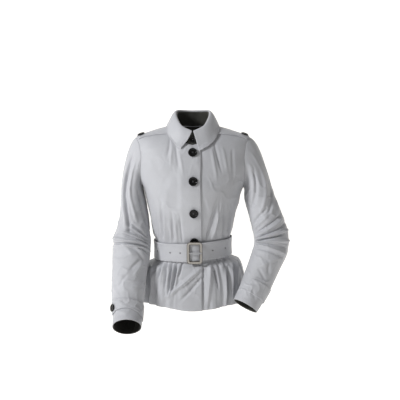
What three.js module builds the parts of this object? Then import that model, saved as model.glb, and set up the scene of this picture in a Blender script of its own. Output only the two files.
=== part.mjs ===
import * as THREE from 'three';

// Short belted trench jacket, shown worn and hollow, in millimetres with +Z up.
// The front faces -Y and the wearer's left is +X. The origin is the middle of the neck opening,
// level with the middle of the shoulder seams. Turns are degrees round Z from the front centre,
// growing towards the wearer's left: 90 is the left side seam and 180 the centre back.

// Cloth and seams
const CLOTH = 1.4;
const DOUBLE_CLOTH = 2.4;
const LINING_CLOTH = 1.0;
const SEAM = 0.3;

// Lengths of the cut
const WAIST_Z = -378;
const HEM_Z = -557;
const HEM_RISE = 10;
const HEM_RISE_AT = 140;
const ARMPIT_Z = -185;
const SHOULDER_TIP_Z = -24;
const NECK_POINT_Z = 14;
const ARMHOLE_TURN = 20;
const SHOULDER_TURN = 90;
const SIDE_ROWS = 7;
const ARMHOLE_ROWS = 8;
const NECK_STEP = 15;

// The waist and belt sit a little higher on the wearer's left
const WAIST_TILT = 0.05;
const WAIST_TILT_REACH = 200;

// Front lap, wearer's right over left
const LAP = { topZ: -60, topHalf: 22, waistZ: -350, waistHalf: 28.5 };
const LAP_LIFT = 2.6;
const LAP_TOP_LIFT = 4.4;
const LAP_LIFT_FROM_Z = -230;
const LAP_LIFT_TO_Z = -100;
const LAP_RAMP = 20;

// Horizontal sections of the torso: half width, depth in front and behind, and squareness
const SECTIONS = [
  { z: -575, half: 182, front: 137, back: 122, square: 2.2 },
  { z: -510, half: 174, front: 130, back: 114, square: 2.2 },
  { z: -460, half: 165, front: 121, back: 104, square: 2.2 },
  { z: -428, half: 150, front: 111, back: 91, square: 2.2 },
  { z: -411, half: 121.5, front: 97.5, back: 67.5, square: 2.15 },
  { z: -378, half: 120, front: 96, back: 66, square: 2.15 },
  { z: -361, half: 120, front: 96, back: 66, square: 2.15 },
  { z: -322, half: 129, front: 103, back: 71, square: 2.2 },
  { z: -276, half: 138, front: 110, back: 77, square: 2.2 },
  { z: -235, half: 148, front: 116, back: 83, square: 2.2 },
  { z: -185, half: 161, front: 120, back: 90, square: 2.2 },
  { z: -150, half: 177, front: 114, back: 92, square: 2.2 },
  { z: -105, half: 189, front: 104, back: 92, square: 2.2 },
  { z: -60, half: 190, front: 88, back: 86, square: 2.15 },
  { z: -45, half: 188, front: 79, back: 82, square: 2.1 },
  { z: -32, half: 186, front: 68, back: 78, square: 2.05 },
  { z: -24, half: 182, front: 60, back: 75, square: 2.0 },
  { z: -16, half: 162, front: 52, back: 72, square: 2.0 },
  { z: -8, half: 138, front: 46, back: 69, square: 2.0 },
  { z: 0, half: 113, front: 43, back: 66, square: 2.0 },
  { z: 14, half: 66, front: 40, back: 62, square: 2.0 },
  { z: 30, half: 40, front: 36, back: 54, square: 2.0 },
];

// Height of the neckline by turn from the front
const NECKLINE = [
  { turn: 0, z: -45 },
  { turn: 30, z: -31 },
  { turn: 62, z: 6 },
  { turn: 90, z: 14 },
  { turn: 135, z: 11 },
  { turn: 180, z: 8 },
];

// Soft folds of the body: a line from one end to the other in x and z, its half width and its
// depth, which is positive for a ridge. The same kind of folds lie on the back.
const BODICE_FOLDS = [
  { face: 'front', x: -104, z: -352, toX: -97, toZ: -250, half: 11, depth: -3.2 },
  { face: 'front', x: -86, z: -352, toX: -88, toZ: -205, half: 12, depth: 3.0 },
  { face: 'front', x: -66, z: -352, toX: -70, toZ: -240, half: 10, depth: -3.4 },
  { face: 'front', x: -50, z: -352, toX: -52, toZ: -270, half: 11, depth: 2.4 },
  { face: 'front', x: 44, z: -352, toX: 52, toZ: -262, half: 10, depth: -2.8 },
  { face: 'front', x: 62, z: -352, toX: 88, toZ: -190, half: 13, depth: 3.8 },
  { face: 'front', x: 82, z: -352, toX: 104, toZ: -215, half: 11, depth: -3.4 },
  { face: 'front', x: 101, z: -352, toX: 112, toZ: -250, half: 10, depth: 2.8 },
  { face: 'back', x: -88, z: -352, toX: -84, toZ: -225, half: 14, depth: 3.0 },
  { face: 'back', x: -62, z: -352, toX: -58, toZ: -250, half: 12, depth: -2.8 },
  { face: 'back', x: -30, z: -352, toX: -34, toZ: -262, half: 13, depth: 2.4 },
  { face: 'back', x: 28, z: -352, toX: 30, toZ: -240, half: 12, depth: -2.6 },
  { face: 'back', x: 56, z: -352, toX: 60, toZ: -215, half: 14, depth: 2.8 },
  { face: 'back', x: 90, z: -352, toX: 86, toZ: -258, half: 12, depth: -2.6 },
];
const PEPLUM_FOLDS = [
  { face: 'front', x: -78, z: -414, toX: -92, toZ: -480, half: 10, depth: -5 },
  { face: 'front', x: -52, z: -414, toX: -76, toZ: -520, half: 11, depth: -6 },
  { face: 'front', x: -64, z: -414, toX: -88, toZ: -530, half: 10, depth: 4 },
  { face: 'front', x: 20, z: -432, toX: -84, toZ: -540, half: 19, depth: 5 },
  { face: 'front', x: 52, z: -414, toX: 60, toZ: -500, half: 12, depth: 6 },
  { face: 'front', x: 66, z: -414, toX: 78, toZ: -500, half: 11, depth: -6 },
  { face: 'front', x: 92, z: -414, toX: 100, toZ: -560, half: 12, depth: 7 },
  { face: 'front', x: 112, z: -420, toX: 114, toZ: -575, half: 10, depth: -8 },
  { face: 'back', x: -74, z: -414, toX: -92, toZ: -575, half: 15, depth: 7 },
  { face: 'back', x: -24, z: -414, toX: -30, toZ: -575, half: 15, depth: 6 },
  { face: 'back', x: 38, z: -414, toX: 44, toZ: -575, half: 15, depth: 7 },
  { face: 'back', x: 88, z: -414, toX: 108, toZ: -575, half: 15, depth: 6 },
];

// Gathers of the peplum: waves round the waist with their heights at the belt and at the hem
const GATHERS = [
  { count: 43, phase: 20, atBelt: 1.9, atHem: 0.7 },
  { count: 26, phase: 130, atBelt: 1.1, atHem: 2.6 },
  { count: 15, phase: 60, atBelt: 0.4, atHem: 3.4 },
];
const PEPLUM_ROWS = [0, 0.184, 0.235, 0.31, 0.44, 0.62, 0.81, 1];
const GATHER_START_Z = -406;
const GATHER_FULL_Z = -430;
const PLACKET_CALM = 30;
const PLACKET_FREE = 62;

// Sleeve rings from the biceps to the cuff: outward, forward and height of the ring's centre,
// and its half width and half depth
const SLEEVES = [
  {
    name: 'right', side: -1, capOut: 0.42,
    rings: [
      { out: 192, y: -8, z: -222, wide: 41, deep: 58 },
      { out: 190, y: -22, z: -300, wide: 50, deep: 53 },
      { out: 196, y: -42, z: -358, wide: 61, deep: 55 },
      { out: 197, y: -62, z: -400, wide: 60, deep: 53 },
      { out: 200, y: -88, z: -445, wide: 55, deep: 50 },
      { out: 202, y: -118, z: -497, wide: 51, deep: 47 },
      { out: 200, y: -147, z: -552, wide: 47, deep: 43 },
      { out: 198, y: -194, z: -587, wide: 44, deep: 40 },
    ],
    folds: [
      { at: 2.0, round: 150, slant: 0.5, along: 0.26, span: 80, depth: -5 },
      { at: 2.3, round: 130, slant: -0.2, along: 0.24, span: 95, depth: 5 },
      { at: 2.7, round: 160, slant: 0.2, along: 0.24, span: 80, depth: -4 },
      { at: 3.1, round: 140, slant: -0.3, along: 0.26, span: 80, depth: 3 },
      { at: 1.9, round: 20, slant: 0.2, along: 0.3, span: 70, depth: -4 },
      { at: 0.6, round: 85, slant: 3.0, along: 0.7, span: 40, depth: -3 },
    ],
    strap: { from: 4, to: 184, low: 0.5, high: 1.36, button: 30, lean: 0.16, arch: 0.26 },
  },
  {
    name: 'left', side: 1, capOut: 0.58,
    rings: [
      { out: 213, y: -16, z: -214, wide: 48, deep: 58 },
      { out: 234, y: -30, z: -276, wide: 52, deep: 55 },
      { out: 249, y: -43, z: -328, wide: 55, deep: 55 },
      { out: 250, y: -56, z: -368, wide: 55, deep: 54 },
      { out: 230, y: -76, z: -415, wide: 51, deep: 50 },
      { out: 208, y: -96, z: -462, wide: 48, deep: 47 },
      { out: 185, y: -118, z: -505, wide: 44, deep: 43 },
      { out: 163, y: -136, z: -540, wide: 41, deep: 40 },
    ],
    folds: [
      { at: 1.3, round: 120, slant: 0.3, along: 0.24, span: 90, depth: -5 },
      { at: 1.7, round: 110, slant: 0.1, along: 0.26, span: 95, depth: 5 },
      { at: 2.2, round: 130, slant: -0.2, along: 0.24, span: 90, depth: -5 },
      { at: 2.6, round: 120, slant: -0.3, along: 0.26, span: 90, depth: 4 },
      { at: 3.0, round: 20, slant: 0.2, along: 0.3, span: 60, depth: 4 },
      { at: 3.4, round: 100, slant: -0.2, along: 0.24, span: 80, depth: -3 },
    ],
    strap: { from: -62, to: 112, low: 0.78, high: 1.64, button: -46, lean: 0, arch: 0 },
  },
];
const SLEEVE_SIDES = 16;
const CAP_RINGS = 5;
const ARM_RINGS = 16;
const CAP_DROP = 0.24;
const SLEEVE_TO_BODY = 3.5;
const SLEEVE_TO_BELT = 11;
const LINING_LENGTH = 1.2;

// Collar: matched points of the fold line and the free edge, from the front round to the back
const COLLAR = [
  { foldX: 2, foldY: -72, foldZ: -1, edgeX: 30, edgeY: -93, edgeZ: -58 },
  { foldX: 33, foldY: -60, foldZ: 14, edgeX: 52, edgeY: -81, edgeZ: -42 },
  { foldX: 49, foldY: -35, foldZ: 36, edgeX: 75, edgeY: -55, edgeZ: -17 },
  { foldX: 56, foldY: -5, foldZ: 56, edgeX: 84, edgeY: -14, edgeZ: 12 },
  { foldX: 50, foldY: 28, foldZ: 63, edgeX: 78, edgeY: 30, edgeZ: 14 },
  { foldX: 29, foldY: 48, foldZ: 63, edgeX: 44, edgeY: 66, edgeZ: 8 },
  { foldX: 0, foldY: 53, foldZ: 62, edgeX: 0, edgeY: 80, edgeZ: 4 },
];
const COLLAR_POINTS = { right: { x: -38, z: -54 }, left: { x: 21, z: -63 } };
const COLLAR_ROLL = 4.6;
const COLLAR_BULGE = 4;
const COLLAR_TO_BODY = 6.2;
const COLLAR_COLUMNS = 36;
const STAND_IN = 5.2;
const STAND_LAP = 3.0;
const STAND_FOOT = 1.9;

// Epaulettes, from under the collar to the shoulder tip
const EPAULETTE = { inner: 72, outer: 178, innerY: -17, outerY: -8, innerHalf: 26, outerHalf: 18 };
const EPAULETTE_POINT = 10;
const EPAULETTE_END_HALF = 9;
const EPAULETTE_BUTTON_X = 164;
const ON_CLOTH = 1.0;

// Belt, wound once round from under the buckle with its tail lying over the start
const BELT_WIDTH = 56;
const BELT_CLOTH = 2.0;
const BELT_GAP = 3.0;
const BELT_LAYER = 2.5;
const BELT_START = 7;
const BELT_END = -462;
const BELT_COLUMNS = 60;
const BUTTON_ROOM = 7.4;
const BUTTON_ROOM_HALF = 36;

// Buckle
const BUCKLE = { x: 6, width: 48, height: 69, bar: 8, corner: 10, thick: 4.5 };
const PRONG = { width: 4, thick: 2.2 };

// Buttons
const BUTTON_R = 14;
const SMALL_BUTTON_R = 12;
const NECK_BUTTON_R = 9;
const FRONT_BUTTONS = [{ x: 0.5, z: -67 }, { x: 1.5, z: -154 }, { x: 3.5, z: -253 }];
const LAST_BUTTON = { x: 5, z: -346, gap: 1.6, lean: 0.07 };
const NECK_BUTTON_Z = -30;
const BUTTON_SIDES = 12;

const clothColor = new THREE.Color(0.68, 0.69, 0.72);
const blackColor = new THREE.Color(0.02, 0.02, 0.022);
const buckleColor = new THREE.Color(0.62, 0.6, 0.55);
const liningColor = new THREE.Color(0.06, 0.06, 0.05);

const rad = (degrees) => (degrees * Math.PI) / 180;
const mix = (a, b, t) => a + (b - a) * t;
const clamp01 = (t) => Math.min(1, Math.max(0, t));
const ease = (t) => clamp01(t) ** 2 * (3 - 2 * clamp01(t));
const bell = (t) => (Math.abs(t) < 1 ? 0.5 + 0.5 * Math.cos(Math.PI * t) : 0);

// Monotone cubic through one column of a table
function column(table, key, name) {
  const xs = table.map((row) => row[key]);
  const ys = table.map((row) => row[name]);
  const rise = xs.slice(1).map((x, i) => (ys[i + 1] - ys[i]) / (x - xs[i]));
  const slope = ys.map((y, i) => {
    if (i === 0 || i === ys.length - 1) return rise[Math.min(i, rise.length - 1)];
    const before = rise[i - 1];
    const after = rise[i];
    return before * after <= 0 ? 0 : (2 * before * after) / (before + after);
  });
  return (x) => {
    let i = 0;
    while (i < xs.length - 2 && x > xs[i + 1]) i += 1;
    const step = xs[i + 1] - xs[i];
    const t = clamp01((x - xs[i]) / step);
    const a = ys[i] * (1 + 2 * t) * (1 - t) ** 2 + ys[i + 1] * t * t * (3 - 2 * t);
    return a + step * (slope[i] * t * (1 - t) ** 2 - slope[i + 1] * t * t * (1 - t));
  };
}

const halfWidth = column(SECTIONS, 'z', 'half');
const frontDepth = column(SECTIONS, 'z', 'front');
const backDepth = column(SECTIONS, 'z', 'back');
const squareness = column(SECTIONS, 'z', 'square');
const necklineByTurn = column(NECKLINE, 'turn', 'z');
const necklineZ = (turn) => necklineByTurn(Math.abs(((turn + 540) % 360) - 180));

function foldDepth(folds, face, x, z) {
  let depth = 0;
  for (const fold of folds) {
    const t = (z - fold.z) / (fold.toZ - fold.z);
    if (fold.face === face && t > 0 && t < 1) {
      const fade = ease(t / 0.2) * ease((1 - t) / 0.45);
      depth += fold.depth * fade * bell((x - mix(fold.x, fold.toX, t)) / fold.half);
    }
  }
  return depth;
}

function gatherDepth(turn, x, z) {
  const down = clamp01((z - GATHER_FULL_Z) / (HEM_Z - GATHER_FULL_Z));
  const start = ease((GATHER_START_Z - z) / (GATHER_START_Z - GATHER_FULL_Z));
  const front = Math.abs(turn) < SHOULDER_TURN;
  const calm = front ? ease((Math.abs(x) - PLACKET_CALM) / (PLACKET_FREE - PLACKET_CALM)) : 1;
  let depth = 0;
  for (const wave of GATHERS) {
    const sway = 18 * Math.sin(rad(3 * turn + wave.phase)) + 11 * Math.sin(rad(7 * turn));
    const angle = wave.count * turn + wave.phase + sway * 3 + 25 * down;
    depth += mix(wave.atBelt, wave.atHem, down) * Math.sin(rad(angle));
  }
  return depth * start * calm;
}

function waistTilt(turn, z) {
  const x = halfWidth(z) * Math.sin(rad(turn));
  return WAIST_TILT * x * bell((z - WAIST_Z) / WAIST_TILT_REACH);
}

// Point of the worn cloth's outer face at a turn and height
function torso(turn, z, lift = 0) {
  const wrapped = ((turn + 540) % 360) - 180;
  const across = Math.sin(rad(wrapped));
  const ahead = Math.cos(rad(wrapped));
  const face = ahead > 0 ? 'front' : 'back';
  const level = z - waistTilt(wrapped, z);
  const depth = ahead > 0 ? frontDepth(level) : backDepth(level);
  const power = squareness(level);
  const sum = (Math.abs(across) / halfWidth(level)) ** power + (Math.abs(ahead) / depth) ** power;
  const base = sum ** (-1 / power);
  const x = base * across;
  const folds = level > WAIST_Z ? foldDepth(BODICE_FOLDS, face, x, level)
    : foldDepth(PEPLUM_FOLDS, face, x, level) + gatherDepth(wrapped, x, level);
  const radius = base + folds + lift;
  return new THREE.Vector3(radius * across, -radius * ahead, z);
}

function torsoNormal(turn, z, surface = torso) {
  const round = surface(turn + 0.4, z).sub(surface(turn - 0.4, z));
  const up = surface(turn, z + 0.8).sub(surface(turn, z - 0.8));
  return round.cross(up).normalize();
}

const turnOf = (p) => (Math.atan2(p.x, -p.y) * 180) / Math.PI;
const outside = (p) => Math.hypot(p.x, p.y) - Math.hypot(...torso(turnOf(p), p.z).toArray().slice(0, 2));

// Direction straight away from the torso at a point, and its distance from the torso
function awayFromTorso(p) {
  const step = 0.5;
  const slope = new THREE.Vector3(
    outside(p.clone().setX(p.x + step)) - outside(p.clone().setX(p.x - step)),
    outside(p.clone().setY(p.y + step)) - outside(p.clone().setY(p.y - step)),
    outside(p.clone().setZ(p.z + step)) - outside(p.clone().setZ(p.z - step)),
  ).divideScalar(2 * step);
  return { distance: outside(p) / slope.length(), direction: slope.normalize() };
}

function keepClear(point, gap) {
  const p = point.clone();
  for (let pass = 0; pass < 4; pass += 1) {
    const { distance, direction } = awayFromTorso(p);
    if (distance < gap) p.addScaledVector(direction, gap - distance);
  }
  return p;
}

// Closed wall between an outer grid of points and the same grid moved in along its normals
function wallGeometry(points, normals, thickness, ring) {
  const rows = points.length;
  const columns = points[0].length;
  const outer = points.flat();
  const inner = outer.map((p, i) => p.clone().addScaledVector(normals.flat()[i], -thickness));
  const shift = outer.length;
  const at = (i, j) => i * columns + (j % columns);
  const faces = [];
  const quad = (a, b, c, d) => faces.push(a, b, c, a, c, d);
  const spans = ring ? columns : columns - 1;
  for (let i = 0; i < rows - 1; i += 1) {
    for (let j = 0; j < spans; j += 1) {
      const [a, b, c, d] = [at(i, j), at(i, j + 1), at(i + 1, j + 1), at(i + 1, j)];
      quad(a, b, c, d);
      faces.push(a + shift, c + shift, b + shift, a + shift, d + shift, c + shift);
    }
  }
  for (let j = 0; j < spans; j += 1) {
    quad(at(0, j + 1), at(0, j), at(0, j) + shift, at(0, j + 1) + shift);
    const last = rows - 1;
    quad(at(last, j), at(last, j + 1), at(last, j + 1) + shift, at(last, j) + shift);
  }
  if (!ring) {
    for (let i = 0; i < rows - 1; i += 1) {
      const far = columns - 1;
      quad(at(i, 0), at(i + 1, 0), at(i + 1, 0) + shift, at(i, 0) + shift);
      quad(at(i + 1, far), at(i, far), at(i, far) + shift, at(i + 1, far) + shift);
    }
  }
  const vertices = [...outer, ...inner];
  let volume = 0;
  for (let i = 0; i < faces.length; i += 3) {
    const [a, b, c] = [vertices[faces[i]], vertices[faces[i + 1]], vertices[faces[i + 2]]];
    volume += a.dot(b.clone().cross(c));
  }
  if (volume < 0) faces.reverse();
  const geometry = new THREE.BufferGeometry();
  const numbers = vertices.flatMap((p) => p.toArray());
  geometry.setAttribute('position', new THREE.Float32BufferAttribute(numbers, 3));
  geometry.setIndex(faces);
  return geometry;
}

// Normals of a grid from its neighbours, facing the way that `outward` says
function gridNormals(points, ring, outward) {
  const rows = points.length;
  const columns = points[0].length;
  return points.map((row, i) => row.map((p, j) => {
    const before = ring ? (j + columns - 1) % columns : Math.max(j - 1, 0);
    const after = ring ? (j + 1) % columns : Math.min(j + 1, columns - 1);
    const across = row[after].clone().sub(row[before]);
    const along = points[Math.min(i + 1, rows - 1)][j].clone().sub(points[Math.max(i - 1, 0)][j]);
    const normal = across.cross(along).normalize();
    return normal.dot(outward(i, j, p)) < 0 ? normal.negate() : normal;
  }));
}

const coat = new THREE.Group();

function add(name, geometry, color, roughness = 0.8) {
  const mesh = new THREE.Mesh(geometry, new THREE.MeshStandardMaterial({ color, roughness }));
  mesh.name = name;
  coat.add(mesh);
  return mesh;
}

// Armhole: round 0 is the shoulder tip, 90 the front, 180 the armpit and 270 the back
function armhole(side, round) {
  const middle = (SHOULDER_TIP_Z + ARMPIT_Z) / 2;
  const z = middle + (SHOULDER_TIP_Z - middle) * Math.cos(rad(round));
  const up = (1 + Math.cos(rad(round))) / 2;
  const opening = ARMHOLE_TURN * Math.sqrt(Math.max(0, Math.sin(Math.PI * up)));
  return { turn: side * (SHOULDER_TURN - Math.sign(Math.sin(rad(round))) * opening), z };
}

// Edge of a panel at the side seam and armhole, as rows of turn and height from the waist up
function sideEdge(side, front) {
  const seamTurn = (z) => {
    const half = ((SEAM / 2) / halfWidth(z)) * (180 / Math.PI);
    return side * (SHOULDER_TURN + (front ? -half : half));
  };
  const rows = [];
  for (let i = 0; i < SIDE_ROWS; i += 1) {
    const z = mix(WAIST_Z + SEAM / 2, ARMPIT_Z, i / SIDE_ROWS);
    rows.push({ turn: seamTurn(z), z });
  }
  for (let i = 0; i <= ARMHOLE_ROWS; i += 1) {
    const down = 180 * (1 - i / ARMHOLE_ROWS);
    const edge = armhole(side, front ? down : 360 - down);
    const atSeam = i === 0 || i === ARMHOLE_ROWS;
    rows.push({ turn: atSeam ? seamTurn(edge.z) : edge.turn, z: edge.z });
  }
  return rows;
}

// Panel of the torso filled in between its four edges, each a list of turn and height
function fillPanel(bottom, top, left, right, surface = torso) {
  const rows = left.length - 1;
  const columns = bottom.length - 1;
  const points = [];
  const normals = [];
  for (let i = 0; i <= rows; i += 1) {
    const v = i / rows;
    const cells = bottom.map((low, j) => {
      const u = j / columns;
      const blend = (key) => (1 - v) * low[key] + v * top[j][key]
        + (1 - u) * left[i][key] + u * right[i][key]
        - (1 - u) * (1 - v) * bottom[0][key] - u * (1 - v) * bottom[columns][key]
        - (1 - u) * v * top[0][key] - u * v * top[columns][key];
      return { turn: blend('turn'), z: blend('z') };
    });
    points.push(cells.map((cell) => surface(cell.turn, cell.z)));
    normals.push(cells.map((cell) => torsoNormal(cell.turn, cell.z, surface)));
  }
  return wallGeometry(points, normals, CLOTH, false);
}

const between = (a, b, steps) => Array.from({ length: steps + 1 }, (_, i) => (
  { turn: mix(a.turn, b.turn, i / steps), z: mix(a.z, b.z, i / steps) }));

function lapTurn(z) {
  const half = mix(LAP.topHalf, LAP.waistHalf, clamp01((z - LAP.topZ) / (LAP.waistZ - LAP.topZ)));
  return (Math.atan2(half, frontDepth(z)) * 180) / Math.PI;
}

// The right front rises over the left one where they lap
function overLap(turn, z) {
  const x = torso(turn, z).x;
  const rise = ease((z - LAP_LIFT_FROM_Z) / (LAP_LIFT_TO_Z - LAP_LIFT_FROM_Z));
  const lift = mix(LAP_LIFT, LAP_TOP_LIFT, rise);
  return torso(turn, z, lift * ease((x + LAP.waistHalf + LAP_RAMP + 2) / LAP_RAMP));
}

function bodiceFront(name, side) {
  const surface = side < 0 ? overLap : torso;
  const right = sideEdge(side, true);
  const neckRows = (SHOULDER_TURN + NECK_STEP) / NECK_STEP;
  const frontRows = right.length - 1 - neckRows;
  const left = [];
  for (let i = 0; i < frontRows; i += 1) {
    const z = mix(WAIST_Z + SEAM / 2, necklineZ(NECK_STEP), i / frontRows);
    left.push({ turn: -side * lapTurn(z), z });
  }
  for (let i = 0; i <= neckRows; i += 1) {
    const turn = side * (i * NECK_STEP - NECK_STEP);
    left.push({ turn, z: necklineZ(turn) });
  }
  left[left.length - 1] = { turn: right[right.length - 1].turn, z: NECK_POINT_Z };
  const columns = 12;
  const bottom = between(left[0], right[0], columns);
  const top = between(left[left.length - 1], right[right.length - 1], columns);
  add(name, fillPanel(bottom, top, left, right, surface), clothColor);
}

function bodiceBack(name) {
  const left = sideEdge(1, false);
  const right = sideEdge(-1, false).map((edge) => ({ turn: edge.turn + 360, z: edge.z }));
  const shoulderSteps = 6;
  const neckSteps = (2 * SHOULDER_TURN) / NECK_STEP;
  const last = left.length - 1;
  const neckStart = { turn: left[last].turn, z: NECK_POINT_Z };
  const neckEnd = { turn: right[last].turn, z: NECK_POINT_Z };
  const top = between(left[last], neckStart, shoulderSteps);
  for (let i = 1; i < neckSteps; i += 1) {
    const turn = SHOULDER_TURN + i * NECK_STEP;
    top.push({ turn, z: necklineZ(turn) });
  }
  top.push(...between(neckEnd, right[last], shoulderSteps));
  const bottom = between(left[0], right[0], top.length - 1);
  add(name, fillPanel(bottom, top, left, right), clothColor);
}

const hemZ = (turn) => {
  const x = torso(turn, HEM_Z).x;
  return HEM_Z + HEM_RISE * ease(Math.abs(x) / HEM_RISE_AT);
};

function peplumPanel(name, from, to, columns, surface = torso) {
  const rows = PEPLUM_ROWS.length - 1;
  const seam = ((SEAM / 2) / halfWidth(HEM_Z)) * (180 / Math.PI);
  const points = [];
  const normals = [];
  for (let i = 0; i <= rows; i += 1) {
    const cells = Array.from({ length: columns + 1 }, (_, j) => {
      const u = j / columns;
      const z0 = mix(WAIST_Z - SEAM / 2, HEM_Z, PEPLUM_ROWS[i]);
      const start = typeof from === 'function' ? from(z0) : from + seam;
      const end = typeof to === 'function' ? to(z0) : to - seam;
      const turn = mix(start, end, u);
      const z = mix(WAIST_Z - SEAM / 2, hemZ(turn), PEPLUM_ROWS[i]);
      return { turn, z: i > 0 ? z + waistTilt(turn, z) : z };
    });
    points.push(cells.map((cell) => surface(cell.turn, cell.z)));
    normals.push(cells.map((cell) => torsoNormal(cell.turn, cell.z, surface)));
  }
  add(name, wallGeometry(points, normals, CLOTH, false), clothColor);
}

// Sleeve: the cap runs from the armhole to the first ring, the arm from ring to ring
function sleeveShape(sleeve) {
  const { side, capOut, rings, folds } = sleeve;
  const centres = rings.map((ring) => new THREE.Vector3(side * ring.out, ring.y, ring.z));
  const line = new THREE.CatmullRomCurve3(centres);
  const numbered = rings.map((ring, at) => ({ at, ...ring }));
  const wide = column(numbered, 'at', 'wide');
  const deep = column(numbered, 'at', 'deep');
  const last = rings.length - 1;

  function arm(at, round) {
    const along = line.getTangent(at / last);
    const out = new THREE.Vector3(side, 0, 0).addScaledVector(along, -side * along.x).normalize();
    const fore = along.clone().cross(out).multiplyScalar(side);
    let lift = 0;
    for (const fold of folds) {
      const gap = ((round - fold.round + 540) % 360) - 180;
      const off = (at - fold.at - (fold.slant * gap) / 90) / fold.along;
      lift += fold.depth * bell(off) * bell(gap / fold.span);
    }
    return line.getPoint(at / last)
      .addScaledVector(out, (wide(at) + lift) * Math.cos(rad(round)))
      .addScaledVector(fore, (deep(at) + lift) * Math.sin(rad(round)));
  }

  function start(round) {
    const edge = armhole(side, round);
    const before = armhole(side, round - 3);
    const after = armhole(side, round + 3);
    const run = torso(after.turn, after.z).sub(torso(before.turn, before.z));
    const normal = torsoNormal(edge.turn, edge.z);
    const away = run.cross(normal).normalize();
    const middle = torso(side * SHOULDER_TURN, (SHOULDER_TIP_Z + ARMPIT_Z) / 2);
    const point = torso(edge.turn, edge.z);
    if (away.dot(middle.sub(point)) < 0) away.negate();
    return point.addScaledVector(away, SEAM + 0.1);
  }

  // at -1 is the armhole, 0 the biceps ring and `last` the cuff
  function surface(at, round) {
    let p;
    if (at >= 0) {
      p = arm(at, round);
    } else {
      const t = at + 1;
      const from = start(round);
      const to = arm(0, round);
      const reach = from.distanceTo(to);
      const leave = new THREE.Vector3(side * capOut, 0, -CAP_DROP).multiplyScalar(reach);
      const arrive = line.getTangent(0).multiplyScalar(0.95 * reach);
      p = from.multiplyScalar((1 + 2 * t) * (1 - t) ** 2)
        .addScaledVector(to, t * t * (3 - 2 * t))
        .addScaledVector(leave, t * (1 - t) ** 2)
        .addScaledVector(arrive, -t * t * (1 - t));
    }
    const nearBelt = Math.abs(p.z - WAIST_Z) < BELT_WIDTH;
    const room = p.z < ARMPIT_Z - 4 ? (nearBelt ? SLEEVE_TO_BELT : SLEEVE_TO_BODY) : 0;
    return room > 0 ? keepClear(p, room) : p;
  }
  return { surface, line, last };
}

function tube(shape, stops, inset, thickness) {
  const ringRound = (j) => (j * 360) / SLEEVE_SIDES;
  const points = stops.map((at) => (
    Array.from({ length: SLEEVE_SIDES }, (_, j) => shape.surface(at, ringRound(j)))));
  const centres = points.map((ring) => ring.reduce((sum, p) => sum.add(p), new THREE.Vector3())
    .divideScalar(SLEEVE_SIDES));
  const normals = gridNormals(points, true, (i, j, p) => p.clone().sub(centres[i]));
  const moved = points.map((ring, i) => ring.map((p, j) => (
    p.clone().addScaledVector(normals[i][j], -inset))));
  return wallGeometry(moved, normals, thickness, true);
}

function buildSleeve(sleeve) {
  const shape = sleeveShape(sleeve);
  const stops = Array.from({ length: CAP_RINGS }, (_, i) => -1 + i / CAP_RINGS);
  for (let i = 0; i <= ARM_RINGS; i += 1) stops.push((shape.last * i) / ARM_RINGS);
  add(`sleeve_${sleeve.name}`, tube(shape, stops, 0, CLOTH), clothColor);
  const inside = stops.filter((at) => at >= shape.last - LINING_LENGTH);
  inside[inside.length - 1] = shape.last - 0.1;
  add(`sleeve_lining_${sleeve.name}`, tube(shape, inside, CLOTH + SEAM, LINING_CLOTH), liningColor);
  buildStrap(sleeve, shape);
}

// Strip on a sleeve or the torso: a grid of places moved out by the gap and its own thickness
function stripOn(place, rows, columns, gap, thickness) {
  const base = Array.from({ length: rows + 1 }, (_, i) => (
    Array.from({ length: columns + 1 }, (_, j) => place(i / rows, j / columns))));
  const points = base.map((row) => row.map((spot) => (
    spot.point.clone().addScaledVector(spot.normal, gap + thickness))));
  const normals = base.map((row) => row.map((spot) => spot.normal));
  return wallGeometry(points, normals, thickness, false);
}

function sleeveSpot(sleeve, shape, at, round) {
  const point = shape.surface(at, round);
  const along = shape.surface(at + 0.05, round).sub(shape.surface(at - 0.05, round));
  const across = shape.surface(at, round + 3).sub(shape.surface(at, round - 3));
  const normal = along.cross(across).normalize();
  const out = point.clone().sub(shape.line.getPoint(Math.min(at, shape.last) / shape.last));
  if (normal.dot(out) < 0) normal.negate();
  return { point, normal };
}

function buildStrap(sleeve, shape) {
  const { strap, name } = sleeve;
  const low = shape.last - strap.low;
  const high = shape.last - strap.high;
  const middle = (low + high) / 2;
  const lean = (round) => (strap.lean * (1 - Math.cos(rad(round)))) / 2 - strap.arch * Math.sin(rad(round));
  const place = (u, v) => {
    const round = mix(strap.from, strap.to, u);
    const pointed = mix(0.45, 1, clamp01((round - strap.from) / 16));
    const at = middle + lean(round) + (v - 0.5) * (low - high) * pointed;
    return sleeveSpot(sleeve, shape, at, round);
  };
  add(`cuff_strap_${name}`, stripOn(place, 18, 3, 0.9, DOUBLE_CLOTH), clothColor);
  const spot = sleeveSpot(sleeve, shape, middle + lean(strap.button), strap.button);
  placeButton(`cuff_button_${name}`, SMALL_BUTTON_R, spot, 0.9 + DOUBLE_CLOTH + 0.9);
}

// Dished button with a raised rim, standing on its own axis
function buttonGeometry(radius) {
  const height = radius * 0.32;
  const profile = [
    [0, 0], [radius * 0.82, 0], [radius, height * 0.4], [radius, height * 0.7],
    [radius * 0.9, height], [radius * 0.74, height * 0.9], [radius * 0.66, height * 0.55],
    [0, height * 0.55],
  ].map(([x, y]) => new THREE.Vector2(x, y));
  return new THREE.LatheGeometry(profile, BUTTON_SIDES);
}

function placeButton(name, radius, spot, gap) {
  const button = add(name, buttonGeometry(radius), blackColor, 0.25);
  button.position.copy(spot.point).addScaledVector(spot.normal, gap);
  button.quaternion.setFromUnitVectors(new THREE.Vector3(0, 1, 0), spot.normal);
}

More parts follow.
